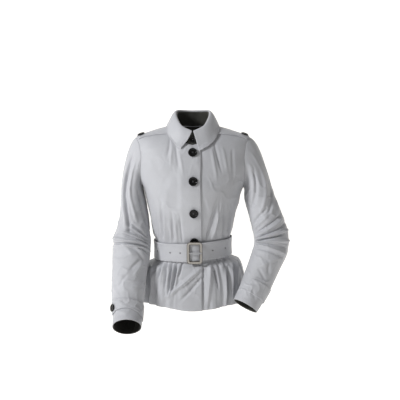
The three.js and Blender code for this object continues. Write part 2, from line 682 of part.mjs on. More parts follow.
// Collar: its fold line and free edge as curves from the wearer's right front to the left
function collarCurve(kind) {
  const half = COLLAR.map((row) => new THREE.Vector3(row[`${kind}X`], row[`${kind}Y`], row[`${kind}Z`]));
  const right = half.map((p) => p.clone().setX(-p.x));
  const left = half.slice(0, -1).reverse();
  if (kind === 'edge') {
    right[0].setX(COLLAR_POINTS.right.x).setZ(COLLAR_POINTS.right.z);
    left[left.length - 1] = half[0].clone().setX(COLLAR_POINTS.left.x).setZ(COLLAR_POINTS.left.z);
  }
  return new THREE.CatmullRomCurve3([...right, ...left]);
}

function buildCollarFall() {
  const foldLine = collarCurve('fold');
  const edgeLine = collarCurve('edge');
  const downs = [-0.12, 0, 0.1, 0.4, 0.7, 1];
  const points = downs.map((down) => Array.from({ length: COLLAR_COLUMNS + 1 }, (_, j) => {
    const u = j / COLLAR_COLUMNS;
    const fold = foldLine.getPoint(u);
    const edge = edgeLine.getPoint(u);
    const flat = new THREE.Vector3(fold.x, fold.y, 0).normalize();
    if (down <= 0) {
      const curl = rad(90 * (down / -0.12));
      return fold.clone().addScaledVector(flat, -COLLAR_ROLL * Math.sin(curl))
        .setZ(fold.z - COLLAR_ROLL * (1 - Math.cos(curl)));
    }
    const p = fold.clone().lerp(edge, down);
    p.addScaledVector(flat, COLLAR_BULGE * Math.sin(Math.PI * Math.sqrt(down)));
    return down > 0.3 ? keepClear(p, COLLAR_TO_BODY) : p;
  }));
  const away = (i, j, p) => new THREE.Vector3(p.x, p.y, i < 2 ? 200 : 20);
  const normals = gridNormals(points, false, away);
  for (let j = 0; j <= COLLAR_COLUMNS; j += 1) {
    normals[0][j] = new THREE.Vector3(-points[0][j].x, -points[0][j].y, 0).normalize();
  }
  add('collar_fall', wallGeometry(points, normals, DOUBLE_CLOTH, false), clothColor);
}

// Collar stand: from the neckline up to just inside the fold line, lapping at the front
function standSpots() {
  const turns = [];
  for (let turn = NECK_STEP; turn >= -360 - NECK_STEP; turn -= NECK_STEP) turns.push(turn);
  return turns.map((turn) => ({ turn, inside: ease((-turn - 300) / 36) }));
}

function foldPointAt(turn) {
  const rows = COLLAR.map((row) => ({
    turn: (Math.atan2(row.foldX, -row.foldY) * 180) / Math.PI,
    reach: Math.hypot(row.foldX, row.foldY),
    z: row.foldZ,
  }));
  const away = Math.abs(((turn + 540) % 360) - 180);
  const reach = column(rows, 'turn', 'reach')(away) - STAND_IN;
  const z = column(rows, 'turn', 'z')(away) - COLLAR_ROLL - 1;
  return new THREE.Vector3(reach * Math.sin(rad(turn)), -reach * Math.cos(rad(turn)), z);
}

function standPoint(turn, up, inside) {
  const low = torso(turn, necklineZ(turn));
  const foot = low.clone().setZ(low.z + STAND_FOOT);
  const top = foldPointAt(turn);
  const flat = new THREE.Vector3(low.x, low.y, 0).normalize();
  const lap = up === 0 && inside === 0 ? 1 : 0;
  return foot.lerp(top, up).addScaledVector(flat, LAP_LIFT * lap * 0.5 - STAND_LAP * inside);
}

function buildStand() {
  const spots = standSpots();
  const ups = [0, 0.5, 1];
  const points = ups.map((up) => spots.map((spot) => standPoint(spot.turn, up, spot.inside)));
  const normals = gridNormals(points, false, (i, j, p) => new THREE.Vector3(p.x, p.y, 0));
  add('collar_stand', wallGeometry(points, normals, DOUBLE_CLOTH, false), liningColor);
  const up = (NECK_BUTTON_Z - necklineZ(0)) / (foldPointAt(0).z - necklineZ(0));
  const point = standPoint(0, up, 0);
  placeButton('neck_button', NECK_BUTTON_R, { point, normal: new THREE.Vector3(0, -0.96, 0.28) }, 1.3);
}

// Height of the shoulder's cloth over a place in plan
function shoulderSpot(x, y) {
  let low = -120;
  let high = 22;
  for (let pass = 0; pass < 30; pass += 1) {
    const z = (low + high) / 2;
    if (outside(new THREE.Vector3(x, y, z)) > 0) high = z;
    else low = z;
  }
  const point = new THREE.Vector3(x, y, (low + high) / 2);
  return { point, normal: awayFromTorso(point).direction };
}

function buildEpaulette(name, side) {
  const { inner, outer, innerY, outerY, innerHalf, outerHalf } = EPAULETTE;
  const place = (u, v) => {
    const x = mix(inner, outer, u);
    const body = mix(innerHalf, outerHalf, u);
    const half = mix(EPAULETTE_END_HALF, body, ease((outer - x) / EPAULETTE_POINT));
    return shoulderSpot(side * x, mix(innerY, outerY, u) + (2 * v - 1) * half);
  };
  add(`epaulette_${name}`, stripOn(place, 12, 4, ON_CLOTH, DOUBLE_CLOTH), clothColor);
  const middle = (EPAULETTE_BUTTON_X - inner) / (outer - inner);
  const spot = shoulderSpot(side * EPAULETTE_BUTTON_X, mix(innerY, outerY, middle));
  placeButton(`epaulette_button_${name}`, SMALL_BUTTON_R, spot, ON_CLOTH + DOUBLE_CLOTH + 0.6);
}

// Belt place: the outward gap grows where the tail lies over the start and over the last button
function beltPoint(turn, up) {
  const z = WAIST_Z + (up - 0.5) * BELT_WIDTH;
  const calm = torso(turn, WAIST_Z);
  const room = BUTTON_ROOM * Math.exp(-((calm.x / BUTTON_ROOM_HALF) ** 2)) * (calm.y < 0 ? 1 : 0);
  const over = ease((-turn - 200) / 120);
  const gap = BELT_GAP + room + BELT_LAYER * over + BELT_CLOTH;
  const flare = 2.2 * Math.abs(up - 0.5);
  const p = torso(turn, WAIST_Z, gap + flare);
  return p.setZ(z + WAIST_TILT * p.x);
}

function buildBelt() {
  const ups = [0, 0.5, 1];
  const points = ups.map((up) => Array.from({ length: BELT_COLUMNS + 1 }, (_, j) => (
    beltPoint(mix(BELT_START, BELT_END, j / BELT_COLUMNS), up))));
  const normals = gridNormals(points, false, (i, j, p) => new THREE.Vector3(p.x, p.y, 0));
  add('belt', wallGeometry(points, normals, BELT_CLOTH, false), clothColor);
}

function roundedRectangle(target, width, height, corner) {
  const [w, h] = [width / 2, height / 2];
  target.moveTo(-w + corner, -h);
  target.lineTo(w - corner, -h);
  target.absarc(w - corner, -h + corner, corner, -Math.PI / 2, 0, false);
  target.lineTo(w, h - corner);
  target.absarc(w - corner, h - corner, corner, 0, Math.PI / 2, false);
  target.lineTo(-w + corner, h);
  target.absarc(-w + corner, h - corner, corner, Math.PI / 2, Math.PI, false);
  target.lineTo(-w, -h + corner);
  target.absarc(-w + corner, -h + corner, corner, Math.PI, 1.5 * Math.PI, false);
  return target;
}

function buildBuckle() {
  const { x, width, height, bar, corner, thick } = BUCKLE;
  let front = 0;
  for (let turn = -372; turn <= -348; turn += 1) {
    for (const up of [0, 0.5, 1]) front = Math.min(front, beltPoint(turn, up).y);
  }
  const frame = roundedRectangle(new THREE.Shape(), width, height, corner);
  const window = roundedRectangle(new THREE.Path(), width - 2 * bar, height - 2 * bar, corner - 6);
  frame.holes.push(window);
  const soft = 1.2;
  const geometry = new THREE.ExtrudeGeometry(frame, {
    depth: thick - 2 * soft, bevelEnabled: true, bevelSize: soft, bevelThickness: soft,
    bevelOffset: -soft, bevelSegments: 1, curveSegments: 4,
  });
  geometry.translate(0, 0, soft);
  const buckle = add('belt_buckle', geometry, buckleColor, 0.6);
  const z = WAIST_Z + WAIST_TILT * x;
  buckle.position.set(x, front - SEAM, z);
  buckle.rotation.set(Math.PI / 2, 0, 0);
  const reach = width - bar - 1;
  const prong = new THREE.ExtrudeGeometry(
    roundedRectangle(new THREE.Shape(), reach, PRONG.width, 1.6),
    { depth: PRONG.thick, bevelEnabled: false, curveSegments: 3 },
  );
  const pin = add('buckle_prong', prong, buckleColor, 0.6);
  pin.position.set(x + 3, front - thick - 2 * SEAM, z);
  pin.rotation.set(Math.PI / 2, 0, 0);
}

bodiceFront('bodice_front_right', -1);
bodiceFront('bodice_front_left', 1);
bodiceBack('bodice_back');
peplumPanel('peplum_front_right', -90, lapTurn, 36, overLap);
peplumPanel('peplum_front_left', (z) => -lapTurn(z), 90, 36);
peplumPanel('peplum_back', 90, 270, 56);
SLEEVES.forEach(buildSleeve);
buildCollarFall();
buildStand();
buildEpaulette('right', -1);
buildEpaulette('left', 1);
buildBelt();
buildBuckle();
const frontTurn = ({ x, z }) => (Math.atan2(x, frontDepth(z)) * 180) / Math.PI;
FRONT_BUTTONS.forEach((button, i) => {
  const turn = frontTurn(button);
  const spot = { point: overLap(turn, button.z), normal: torsoNormal(turn, button.z, overLap) };
  placeButton(`front_button_${i + 1}`, BUTTON_R, spot, 0.5);
});
const lastSpot = {
  point: overLap(frontTurn(LAST_BUTTON), LAST_BUTTON.z),
  normal: new THREE.Vector3(0, -1, -LAST_BUTTON.lean).normalize(),
};
placeButton(`front_button_${FRONT_BUTTONS.length + 1}`, BUTTON_R, lastSpot, LAST_BUTTON.gap);

export default coat;
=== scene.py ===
import math

import bmesh
import bpy
import numpy as np
from mathutils import Matrix, Vector


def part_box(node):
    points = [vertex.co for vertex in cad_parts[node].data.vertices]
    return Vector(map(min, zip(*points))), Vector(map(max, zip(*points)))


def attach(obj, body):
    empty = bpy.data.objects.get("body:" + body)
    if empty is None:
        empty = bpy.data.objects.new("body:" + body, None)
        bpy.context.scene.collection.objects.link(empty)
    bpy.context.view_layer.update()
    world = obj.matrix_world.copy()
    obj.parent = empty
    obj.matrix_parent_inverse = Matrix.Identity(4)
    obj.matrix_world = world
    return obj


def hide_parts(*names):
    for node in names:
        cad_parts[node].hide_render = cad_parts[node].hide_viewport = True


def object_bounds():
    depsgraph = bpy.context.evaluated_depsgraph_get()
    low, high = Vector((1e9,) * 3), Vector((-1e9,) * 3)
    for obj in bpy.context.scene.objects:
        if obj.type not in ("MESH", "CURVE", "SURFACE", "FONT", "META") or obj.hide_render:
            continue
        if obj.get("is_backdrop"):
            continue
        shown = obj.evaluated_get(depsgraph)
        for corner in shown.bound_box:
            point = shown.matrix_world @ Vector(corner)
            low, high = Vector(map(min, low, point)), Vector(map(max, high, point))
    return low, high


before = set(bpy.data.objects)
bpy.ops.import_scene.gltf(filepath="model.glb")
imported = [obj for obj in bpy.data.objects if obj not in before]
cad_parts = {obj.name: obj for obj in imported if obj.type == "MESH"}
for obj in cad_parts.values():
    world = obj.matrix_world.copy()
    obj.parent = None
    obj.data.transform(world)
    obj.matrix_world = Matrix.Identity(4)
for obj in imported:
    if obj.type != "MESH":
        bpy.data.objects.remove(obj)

CAD_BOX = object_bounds()
MM = 0.001

# Short belted trench jacket, worn and hollow. Sizes are millimetres until a mesh is made.
# Front -Y, wearer's left +X. A turn is in degrees round Z from the front centre.


def table(columns, *rows):
    return [dict(zip(columns.split(), row)) for row in rows]


# Cut and cloth
CLOTH = 1.2
DOUBLE_CLOTH = 2.2
SEAM = 0.3
WAIST_Z = -378
HEM_Z = -557
HEM_RISE = 10
HEM_RISE_AT = 140
ROWS_CLOSER = 1.15
TILT_BLEND = 12
ARMPIT_Z = -185
SHOULDER_TIP_Z = -24
NECK_POINT_Z = 14
ARMHOLE_TURN = 20
SIDE_TURN = 90
NECK_STEP = 15
SHOULDER_SHARE = 6 / 22
FRONT_SHARE = 8 / 15
WAIST_TILT = 0.05
WAIST_TILT_REACH = 200
LAP = {"top_z": -60, "top_half": 22, "waist_z": -350, "waist_half": 28.5,
       "lift": 3, "ramp": 20, "lead": 2}
SIDES = {"right": -1, "left": 1}
SIDE_SHARE = 7 / 15

SECTIONS = table(
    "z half front back square",
    (-575, 182, 137, 122, 2.2), (-510, 174, 130, 114, 2.2), (-460, 165, 121, 104, 2.2),
    (-428, 150, 111, 91, 2.2), (-411, 121.5, 97.5, 67.5, 2.15), (-378, 120, 96, 66, 2.15),
    (-361, 120, 96, 66, 2.15), (-322, 129, 103, 71, 2.2), (-276, 138, 110, 77, 2.2),
    (-235, 148, 116, 83, 2.2), (-185, 161, 120, 90, 2.2), (-150, 177, 114, 92, 2.2),
    (-105, 189, 104, 92, 2.2), (-60, 190, 88, 86, 2.15), (-45, 188, 79, 82, 2.1),
    (-32, 186, 68, 78, 2.05), (-24, 182, 60, 75, 2.0), (-16, 162, 52, 72, 2.0),
    (-8, 138, 46, 69, 2.0), (0, 113, 43, 66, 2.0), (14, 66, 40, 62, 2.0), (30, 40, 36, 54, 2.0),
)
NECKLINE = table("turn z", (0, -45), (30, -31), (62, 6), (90, 14), (135, 11), (180, 8))

# Folds as lines from one end to the other in x and z, with half width and depth
BODICE_FOLDS = {
    "front": table(
        "x z to_x to_z half depth",
        (-120, -352, -137, -204, 8.1, 4.5), (-108, -352, -120, -230, 6.3, -3.9),
        (-97, -352, -100, -196, 6.3, -7.5), (-86, -352, -88, -240, 6.3, 5.1),
        (-74, -350, -76, -290, 4.5, -3.6), (-62, -352, -66, -236, 7.2, -6.6),
        (-48, -352, -53, -262, 7.2, 5.1), (-31, -352, -41, -246, 6.3, -5.4),
        (40, -352, 84, -190, 9, -7.5), (58, -352, 93, -212, 8.1, 7.5),
        (76, -350, 87, -186, 4.5, -4.5), (98, -352, 102, -214, 6.3, -7.2),
        (86, -352, 94, -262, 5.4, 3.9), (106, -350, 113, -240, 5.4, 4.8),
        (113, -352, 124, -222, 5.4, -6.6), (-71, -24, -79, -88, 5.4, -3.6),
        (-62, -34, -68, -120, 6.3, 2.7), (-54, -42, -41, -124, 5.4, -3.3),
        (-40, -60, -24, -150, 6.3, 1.8), (66, -32, 94, -144, 6.3, -3.9),
        (56, -44, 78, -170, 8.1, 3), (90, -44, 112, -150, 8.1, 2.4),
        (122, -50, 128, -170, 8.1, -2.7),
    ),
    "back": table(
        "x z to_x to_z half depth",
        (-96, -352, -88, -225, 8.5, 4.3), (-78, -352, -72, -250, 6.6, -4.6),
        (-58, -352, -56, -236, 7.6, 3.8), (-36, -352, -36, -262, 7.6, -4.3),
        (-14, -352, -14, -285, 6.6, 3.1), (12, -352, 14, -262, 6.6, -3.6),
        (32, -352, 34, -240, 7.6, 4.1), (52, -352, 54, -262, 6.6, -4.6),
        (70, -352, 70, -215, 8.5, 4.3), (92, -352, 86, -258, 7.6, -4.3),
        (-110, -60, -96, -170, 13.3, -2.9), (104, -62, 92, -176, 13.3, -2.9),
    ),
}
PEPLUM_FOLDS = {
    "front": table(
        "x z to_x to_z half depth",
        (-110, -404, -124, -450, 5.7, -6.2), (-96, -404, -114, -470, 5.7, -7.5),
        (-88, -404, -103, -500, 6.6, 5.6), (-80, -404, -92, -510, 5.7, -8.8),
        (-72, -404, -84, -530, 5.7, 5), (-64, -404, -79, -524, 5.7, -8.8),
        (-48, -404, -73, -526, 5.7, -8.1), (-56, -404, -76, -524, 5.7, 5),
        (-29, -404, -48, -462, 5.7, -6.2), (-38, -404, -66, -530, 7.6, 5.6),
        (34, -416, -108, -540, 15.2, 8.8), (36, -446, -50, -540, 12.3, -6.2),
        (34, -408, 32, -560, 7.6, -5), (54, -396, 44, -575, 12.3, 8.1),
        (66, -430, 82, -500, 5.7, -8.8), (76, -404, 88, -440, 4.8, -5.6),
        (84, -404, 98, -436, 4.8, 4.4), (96, -404, 104, -440, 4.8, -5.6),
        (101, -424, 104, -575, 6.6, 5.6), (111, -424, 111, -575, 5.7, -13.8),
        (122, -414, 122, -575, 6.6, 7.5), (132, -420, 134, -575, 5.7, -8.8),
        (142, -414, 146, -575, 6.6, 5), (-126, -404, -132, -575, 7.6, 6.2),
        (-140, -410, -146, -575, 7.6, -11.2),
    ),
    "back": table(
        "x z to_x to_z half depth",
        (-118, -414, -130, -560, 9, -5), (-84, -414, -98, -575, 12, 7),
        (-56, -414, -64, -540, 9, -6), (-28, -414, -34, -575, 12, 6), (4, -414, 2, -530, 8, -5.5),
        (36, -414, 42, -575, 12, 7), (64, -414, 72, -550, 9, -6), (92, -414, 108, -575, 12, 6),
        (118, -414, 134, -560, 9, -5),
    ),
}
FOLD_FADE = (0.2, 0.45)
# Gathers as waves round the peplum, and how far two slower waves sway them
GATHERS = table(
    "count phase at_belt at_hem",
    (61, 75, 1.1, 0.15), (43, 20, 2.0, 0.6), (26, 130, 1.3, 2.6), (15, 60, 0.4, 3.4),
)
GATHER_SWAY = ((3, 54, 1), (7, 33, 0))
GATHER_LEAN = 25
GATHER_ROUND = 0.4
VALLEY_SOFT = 0.02
VALLEY_LEVEL = 1.2
GATHER_START_Z = -406
GATHER_FULL_Z = -428
PLACKET_CALM = 30
PLACKET_FREE = 62

# Worn cotton: layers of smooth noise, those with a power as thin raised creases. A warp is
# how far noise moves a place, then a cell and a seed for each of its two directions.
WORN = "lean squeeze cell seed height power"
CRUMPLE = table(
    WORN, (0, 1, 50, 11, 1.5, 0), (0.4, 0.7, 24, 12, 0.7, 0), (0.5, 0.45, 38, 13, 1.7, 9),
    (-0.6, 0.6, 30, 15, 1.4, 9),
)
CRUMPLE_WARP = (16, 37, 16, 33, 17)
CRUMPLE_PATCHES = (90, 14)
PATCH_SHARE = 0.6
CREASE_FOOT = 0.15
CRUMPLE_CALM = {"belt": (26, 20), "neck": (20, 30), "back": 16}
MM_PER_TURN = 2.4
SLEEVE_CRUMPLE = table(WORN, (0, 1, 34, 21, 1.3, 0), (0.4, 1, 30, 25, 2.0, 8))
SLEEVE_WARP = (14, 31, 27, 29, 30)
SLEEVE_SEAM_CALM = 14

# Sleeve rings from the biceps to the cuff, and creases at a ring number and a place round the ring
SLEEVES = {
    "right": {
        "cap_out": 0.42,
        "rings": table(
            "out y z wide deep",
            (192, -8, -222, 41, 58), (190, -22, -300, 50, 53), (196, -42, -358, 61, 55),
            (197, -62, -400, 60, 53), (200, -88, -445, 55, 50), (202, -118, -497, 51, 47),
            (200, -147, -552, 47, 43), (198, -194, -587, 44, 40),
        ),
        "folds": table(
            "at round to_at to_round half depth",
            (-0.9, 42, 1.95, 92, 8, -10), (-0.8, 30, 1.8, 76, 10, 6.5),
            (-0.9, 64, 1.2, 112, 9, 5), (-0.4, 118, 1.3, 150, 8, -8),
            (0.2, 18, 1.5, 40, 7, -3), (0.7, 8, 1.6, 30, 7, 2.5),
            (1.0, 78, 1.75, 150, 6, -5), (1.2, 70, 1.95, 155, 6, 5),
            (1.35, 60, 2.1, 165, 6, -6.5), (1.55, 50, 2.2, 165, 7, 6),
            (1.72, 62, 2.3, 172, 6, -7), (1.85, 0, 2.42, 172, 7, 7.5),
            (2.12, -20, 2.56, 175, 6, -8.5), (2.4, 60, 2.75, 172, 7, 4),
            (2.6, 110, 2.95, 175, 6, -5), (2.2, 60, 3.3, 105, 10, 3.5),
            (2.5, 90, 3.6, 150, 9, -3), (3.3, 130, 4.2, 95, 8, -4),
            (3.5, 140, 4.5, 110, 8, 3.5), (4.3, 90, 5.0, 60, 8, -2.5),
            (4.8, 30, 5.4, 70, 8, 2.5), (5.5, 70, 6.3, 110, 9, -2),
            (6.3, 40, 6.8, 100, 8, 1.6), (1.6, 200, 2.2, 330, 8, -5),
            (1.9, 195, 2.5, 330, 8, 5), (2.2, 190, 2.8, 320, 8, -5), (0.4, 230, 1.6, 290, 9, -3),
        ),
        "strap": {"start": 4, "end": 184, "low": 0.5, "high": 1.36, "button": 30,
                  "lean": 0.16, "arch": 0.26},
    },
    "left": {
        "cap_out": 0.58,
        "rings": table(
            "out y z wide deep",
            (213, -16, -214, 48, 58), (234, -30, -276, 52, 55), (249, -43, -328, 55, 55),
            (250, -56, -368, 55, 54), (230, -76, -415, 51, 50), (208, -96, -462, 48, 47),
            (185, -118, -505, 44, 43), (163, -136, -540, 41, 40),
        ),
        "folds": table(
            "at round to_at to_round half depth",
            (-0.7, 70, 0.6, 150, 9, -6), (-0.5, 40, 1.0, 120, 10, 5),
            (-0.2, 30, 1.3, 100, 9, -4.5), (0.3, 20, 1.4, 60, 9, 3.5),
            (0.6, 80, 1.3, 165, 7, -5), (0.8, 60, 1.6, 165, 7, 4.5),
            (1.1, 30, 1.95, 165, 6, -6), (1.3, 20, 2.2, 165, 7, 5.5),
            (1.55, 5, 2.42, 168, 6, -7), (1.9, 0, 2.62, 170, 7, 7),
            (2.2, 40, 2.85, 172, 6, -8), (2.55, -10, 3.05, 172, 7, 7),
            (2.95, -10, 3.22, 170, 6, -7), (3.25, 5, 3.42, 165, 7, 5),
            (3.5, 30, 3.6, 160, 7, -4), (1.4, -15, 1.9, 30, 6, -5),
            (3.6, 50, 4.6, 110, 8, 3), (3.9, 90, 4.8, 60, 8, -3),
            (4.6, 110, 5.2, 60, 8, -2.5), (5.0, 40, 5.6, 100, 8, 2),
            (5.9, 100, 6.5, 60, 8, -1.6), (1.3, 200, 2.6, 330, 8, -5),
            (1.7, 195, 3.0, 330, 8, 5), (2.2, 190, 3.4, 320, 8, -5), (0.2, 230, 1.2, 290, 9, -3),
        ),
        "strap": {"start": -62, "end": 112, "low": 0.78, "high": 1.64, "button": -46,
                  "lean": 0, "arch": 0},
    },
}
CAP_DROP = 0.24
CAP_ARRIVE = 0.95
SLEEVE_TO_BODY = 3.5
SLEEVE_TO_BELT = 11
RING_STEP = 52
RING_NOISE_STEP = 50
NOISE_RINGS_BEFORE = 6
UNDERSIDE_NOISE = 200
RING_END = 0.002
RING_PROBE = 0.001
SPOT_STEP = (0.03, 2)
ARMHOLE_STEP = 3
CAP_SEAM = 0.4
BELT_RAMP = 12
ARMPIT_RAMP = (2, 8)
STRAP_POINT = {"half": 0.45, "turns": 16}
ROUND_STEP = 0.9
SLEEVE_FADE = {"fold": (0.2, 0.3), "cuff": 0.5, "cap": 0.35}
LINING_RINGS = 1.2

COLLAR = table(
    "fold edge",
    ((2, -72, -1), (30, -93, -58)), ((33, -60, 14), (52, -81, -44)),
    ((49, -35, 36), (75, -55, -17)), ((56, -5, 56), (84, -14, 12)),
    ((50, 28, 63), (78, 30, 14)), ((29, 48, 63), (44, 66, 8)), ((0, 53, 62), (0, 80, 4)),
)
COLLAR_POINTS = {"right": (-38, -93, -54), "left": (21, -93, -63)}
COLLAR_ROLL = 4.6
COLLAR_CURL = 0.12
COLLAR_BULGE = 4
COLLAR_BOW = 4.5
COLLAR_BOW_SHARE = 0.07
COLLAR_NOISE = {"height": 1.4, "length": 520, "depth": 60, "cell": 34, "seed": 31}
COLLAR_SETTLE = (0.2, 0.3)
CURL_ROWS = 12
COLLAR_TO_BODY = 6.2
STAND_IN = 5.2
STAND_LAP = 3.0
STAND_LAPS = (300, 36)
STAND_FOOT = 1.9

EPAULETTE = {"inner": 72, "outer": 178, "inner_y": -17, "outer_y": -8,
             "inner_half": 26, "outer_half": 18}
EPAULETTE_POINT = 10
SHOULDER_SEARCH = (-120, 22)
EPAULETTE_END_HALF = 9
EPAULETTE_BUTTON_X = 164
ON_CLOTH = 0.8
STRAP_ON_SLEEVE = 0.9
LINING_CLOTH = 0.8

BELT_WIDTH = 56
BELT_CLOTH = 1.9
BELT_GAP = 3.0
BELT_LAYER = 2.5
BELT_START = 7
BELT_END = -462
BUTTON_ROOM = 7.4
BUTTON_ROOM_HALF = 36
BELT_CUP = 2.2
BELT_WANDER = 1.2
BELT_NOISE = {"height": 0.5, "cell": 30, "seed": 41}
BELT_LAPS = (200, 120)
EYELET_TURNS = (-66, -39, -21, 34, 58)
EYELET_R = 2.5
BUTTONHOLE = 37
BUCKLE = {"x": 6, "width": 48, "height": 69, "bar": 8, "thick": 4.5,
          "middle_corner": 6, "edge_ahead": 0.1}
BAR_SQUARE = 0.62
# Dark strips round the frame's outside and inside: a dark edge, partly painted shadow in the gaps
# beside the frame.
BUCKLE_EDGE_SHADES = table("name reach wide", ("outer", 3.5, 1.5), ("inner", -3.6, 2.2))

BUTTON_R = 14
SMALL_BUTTON_R = 12
NECK_BUTTON_R = 9
ON_BUTTONHOLE = 0.5
UNDER_BELT = {"gap": 1.6, "faces": (0, -1, -0.07)}
NECK_BUTTON = {"gap": -1.4, "faces": (0, -0.96, 0.28)}
BUTTONS = table("x z", (0.5, -67), (1.5, -154), (3.5, -253), (5, -346))


# Small maths on arrays
def mix(a, b, t):
    return a + (b - a) * t


def ease(t):
    t = np.clip(t, 0, 1)
    return t * t * (3 - 2 * t)


def bell(t):
    return np.where(np.abs(t) < 1, 0.5 + 0.5 * np.cos(np.pi * np.clip(t, -1, 1)), 0.0)


def crisp(t):
    """A fold's section: soft at the foot and pinched at the crest."""
    pinched = np.maximum(1 - np.sqrt(t * t + 0.008), 0) ** 1.5
    return mix(bell(t), pinched, 0.6)


def cubic(first, last, leave, arrive, t):
    """Blends two ends, with the slopes that it leaves and arrives with."""
    return (first * (1 + 2 * t) * (1 - t) ** 2 + last * t * t * (3 - 2 * t)
            + leave * t * (1 - t) ** 2 - arrive * t * t * (1 - t))


def sin(degrees):
    return np.sin(np.radians(degrees))


def cos(degrees):
    return np.cos(np.radians(degrees))


def join(*parts):
    return np.stack(parts, axis=-1)


def shares(count):
    return np.linspace(0, 1, count)


def unit(vectors):
    return vectors / np.maximum(np.linalg.norm(vectors, axis=-1, keepdims=True), 1e-9)


def column(rows, key, name):
    """Monotone cubic through one column of a table."""
    xs = np.array([row[key] for row in rows], float)
    ys = np.array([row[name] for row in rows], float)
    rise = np.diff(ys) / np.diff(xs)
    slope = np.empty_like(ys)
    slope[0], slope[-1] = rise[0], rise[-1]
    product = rise[:-1] * rise[1:]
    total = np.where(product > 0, rise[:-1] + rise[1:], 1)
    slope[1:-1] = np.where(product > 0, 2 * product / total, 0)

    def at(x):
        x = np.asarray(x, float)
        i = np.clip(np.searchsorted(xs, x) - 1, 0, len(xs) - 2)
        step = xs[i + 1] - xs[i]
        t = np.clip((x - xs[i]) / step, 0, 1)
        return cubic(ys[i], ys[i + 1], step * slope[i], step * slope[i + 1], t)

    return at


def spline(points):
    """Centripetal curve through points, as a function of 0 to 1 in steps of one point."""
    points = np.array(points, float)
    ends = np.vstack([2 * points[0] - points[1], points, 2 * points[-1] - points[-2]])
    gaps = np.sqrt(np.linalg.norm(np.diff(ends, axis=0), axis=1))

    def at(t):
        place = np.clip(np.asarray(t, float), 0, 1) * (len(points) - 1)
        i = np.minimum(place.astype(int), len(points) - 2)
        w = (place - i)[..., None]
        d0, d1, d2 = (gaps[i + k][..., None] for k in range(3))
        p0, p1, p2, p3 = (ends[i + k] for k in range(4))
        m1 = ((p1 - p0) / d0 - (p2 - p0) / (d0 + d1) + (p2 - p1) / d1) * d1
        m2 = ((p2 - p1) / d1 - (p3 - p1) / (d1 + d2) + (p3 - p2) / d2) * d1
        return cubic(p1, p2, m1, m2, w)

    return at


NOISE_SIZE = 97
NOISE_APART = 500


def noise(u, v, cell, seed):
    """Smooth seeded noise from -1 to 1 on a lattice of the given cell."""
    grid = np.random.default_rng(seed).uniform(-1, 1, (NOISE_SIZE, NOISE_SIZE))
    u, v = np.asarray(u) / cell, np.asarray(v) / cell
    i, j = np.floor(u).astype(int), np.floor(v).astype(int)
    s, t = ease(u - i), ease(v - j)
    corner = lambda a, b: grid[(i + a) % NOISE_SIZE, (j + b) % NOISE_SIZE]
    return mix(mix(corner(0, 0), corner(1, 0), s), mix(corner(0, 1), corner(1, 1), s), t)


def worn(u, v, layers, warp, seed=0):
    """Swells and crisp creases of worn cotton, at places that smooth noise moves about."""
    reach, cell, first, other_cell, second = warp
    u, v = (u + reach * noise(u, v, cell, first + seed),
            v + reach * noise(u + NOISE_APART, v, other_cell, second + seed))
    swell = creases = 0
    for row in layers:
        wave = noise(u + row["lean"] * v, v * row["squeeze"], row["cell"], row["seed"] + seed)
        if row["power"]:
            creases = creases + row["height"] * ((1 - np.abs(wave)) ** row["power"] - CREASE_FOOT)
        else:
            swell = swell + row["height"] * wave
    return swell, creases


def faded(t, start, end):
    """Rises over the first share of a line and falls over its last one."""
    return ease(t / start) * ease((1 - t) / end)


half_width = column(SECTIONS, "z", "half")
front_depth = column(SECTIONS, "z", "front")
back_depth = column(SECTIONS, "z", "back")
squareness = column(SECTIONS, "z", "square")
neckline_by_turn = column(NECKLINE, "turn", "z")


# Steps for slopes, and how near a point lies before it is moved clear
TURN_STEP = 0.4
UP_STEP = 0.8
PROBE = 0.5
NEAR = (8, 4)


def wrap(turn):
    return (np.asarray(turn, float) + 540) % 360 - 180


def neckline_z(turn):
    return neckline_by_turn(np.abs(wrap(turn)))


# The worn body of the garment
def fold_depth(folds, front, x, z):
    depth = np.zeros_like(x)
    for face, rows in folds.items():
        for fold in rows:
            t = (z - fold["z"]) / (fold["to_z"] - fold["z"])
            shape = crisp((x - mix(fold["x"], fold["to_x"], np.clip(t, 0, 1))) / fold["half"])
            lift = fold["depth"] * faded(t, *FOLD_FADE) * shape
            depth += np.where(front == (face == "front"), lift, 0)
    return depth


def gather_depth(turn, front, x, z):
    down = np.clip((z - GATHER_FULL_Z) / (HEM_Z - GATHER_FULL_Z), 0, 1)
    start = ease((GATHER_START_Z - z) / (GATHER_START_Z - GATHER_FULL_Z))
    calm = ease((np.abs(x) - PLACKET_CALM) / (PLACKET_FREE - PLACKET_CALM))
    depth = np.zeros_like(x)
    for wave in GATHERS:
        sway = sum(swing * sin(waves * turn + phased * wave["phase"])
                   for waves, swing, phased in GATHER_SWAY)
        angle = np.radians(wave["count"] * turn + wave["phase"] + sway + GATHER_LEAN * down)
        valley = 2 * np.sqrt(np.sin(angle / 2) ** 2 + VALLEY_SOFT) - VALLEY_LEVEL
        size = mix(wave["at_belt"], wave["at_hem"], down)
        depth += size * mix(valley, np.sin(angle), GATHER_ROUND)
    return depth * start * np.where(front, calm, 1)


def crumple(turn, z):
    round_mm = np.asarray(turn) * MM_PER_TURN
    swell, creases = worn(round_mm, z, CRUMPLE, CRUMPLE_WARP)
    whole = swell + creases * ease(noise(round_mm, z, *CRUMPLE_PATCHES) + PATCH_SHARE)
    return whole * ease((180 - np.abs(wrap(turn))) / CRUMPLE_CALM["back"])


def waist_tilt(turn, z):
    x = half_width(z) * sin(turn)
    return WAIST_TILT * x * bell((z - WAIST_Z) / WAIST_TILT_REACH)


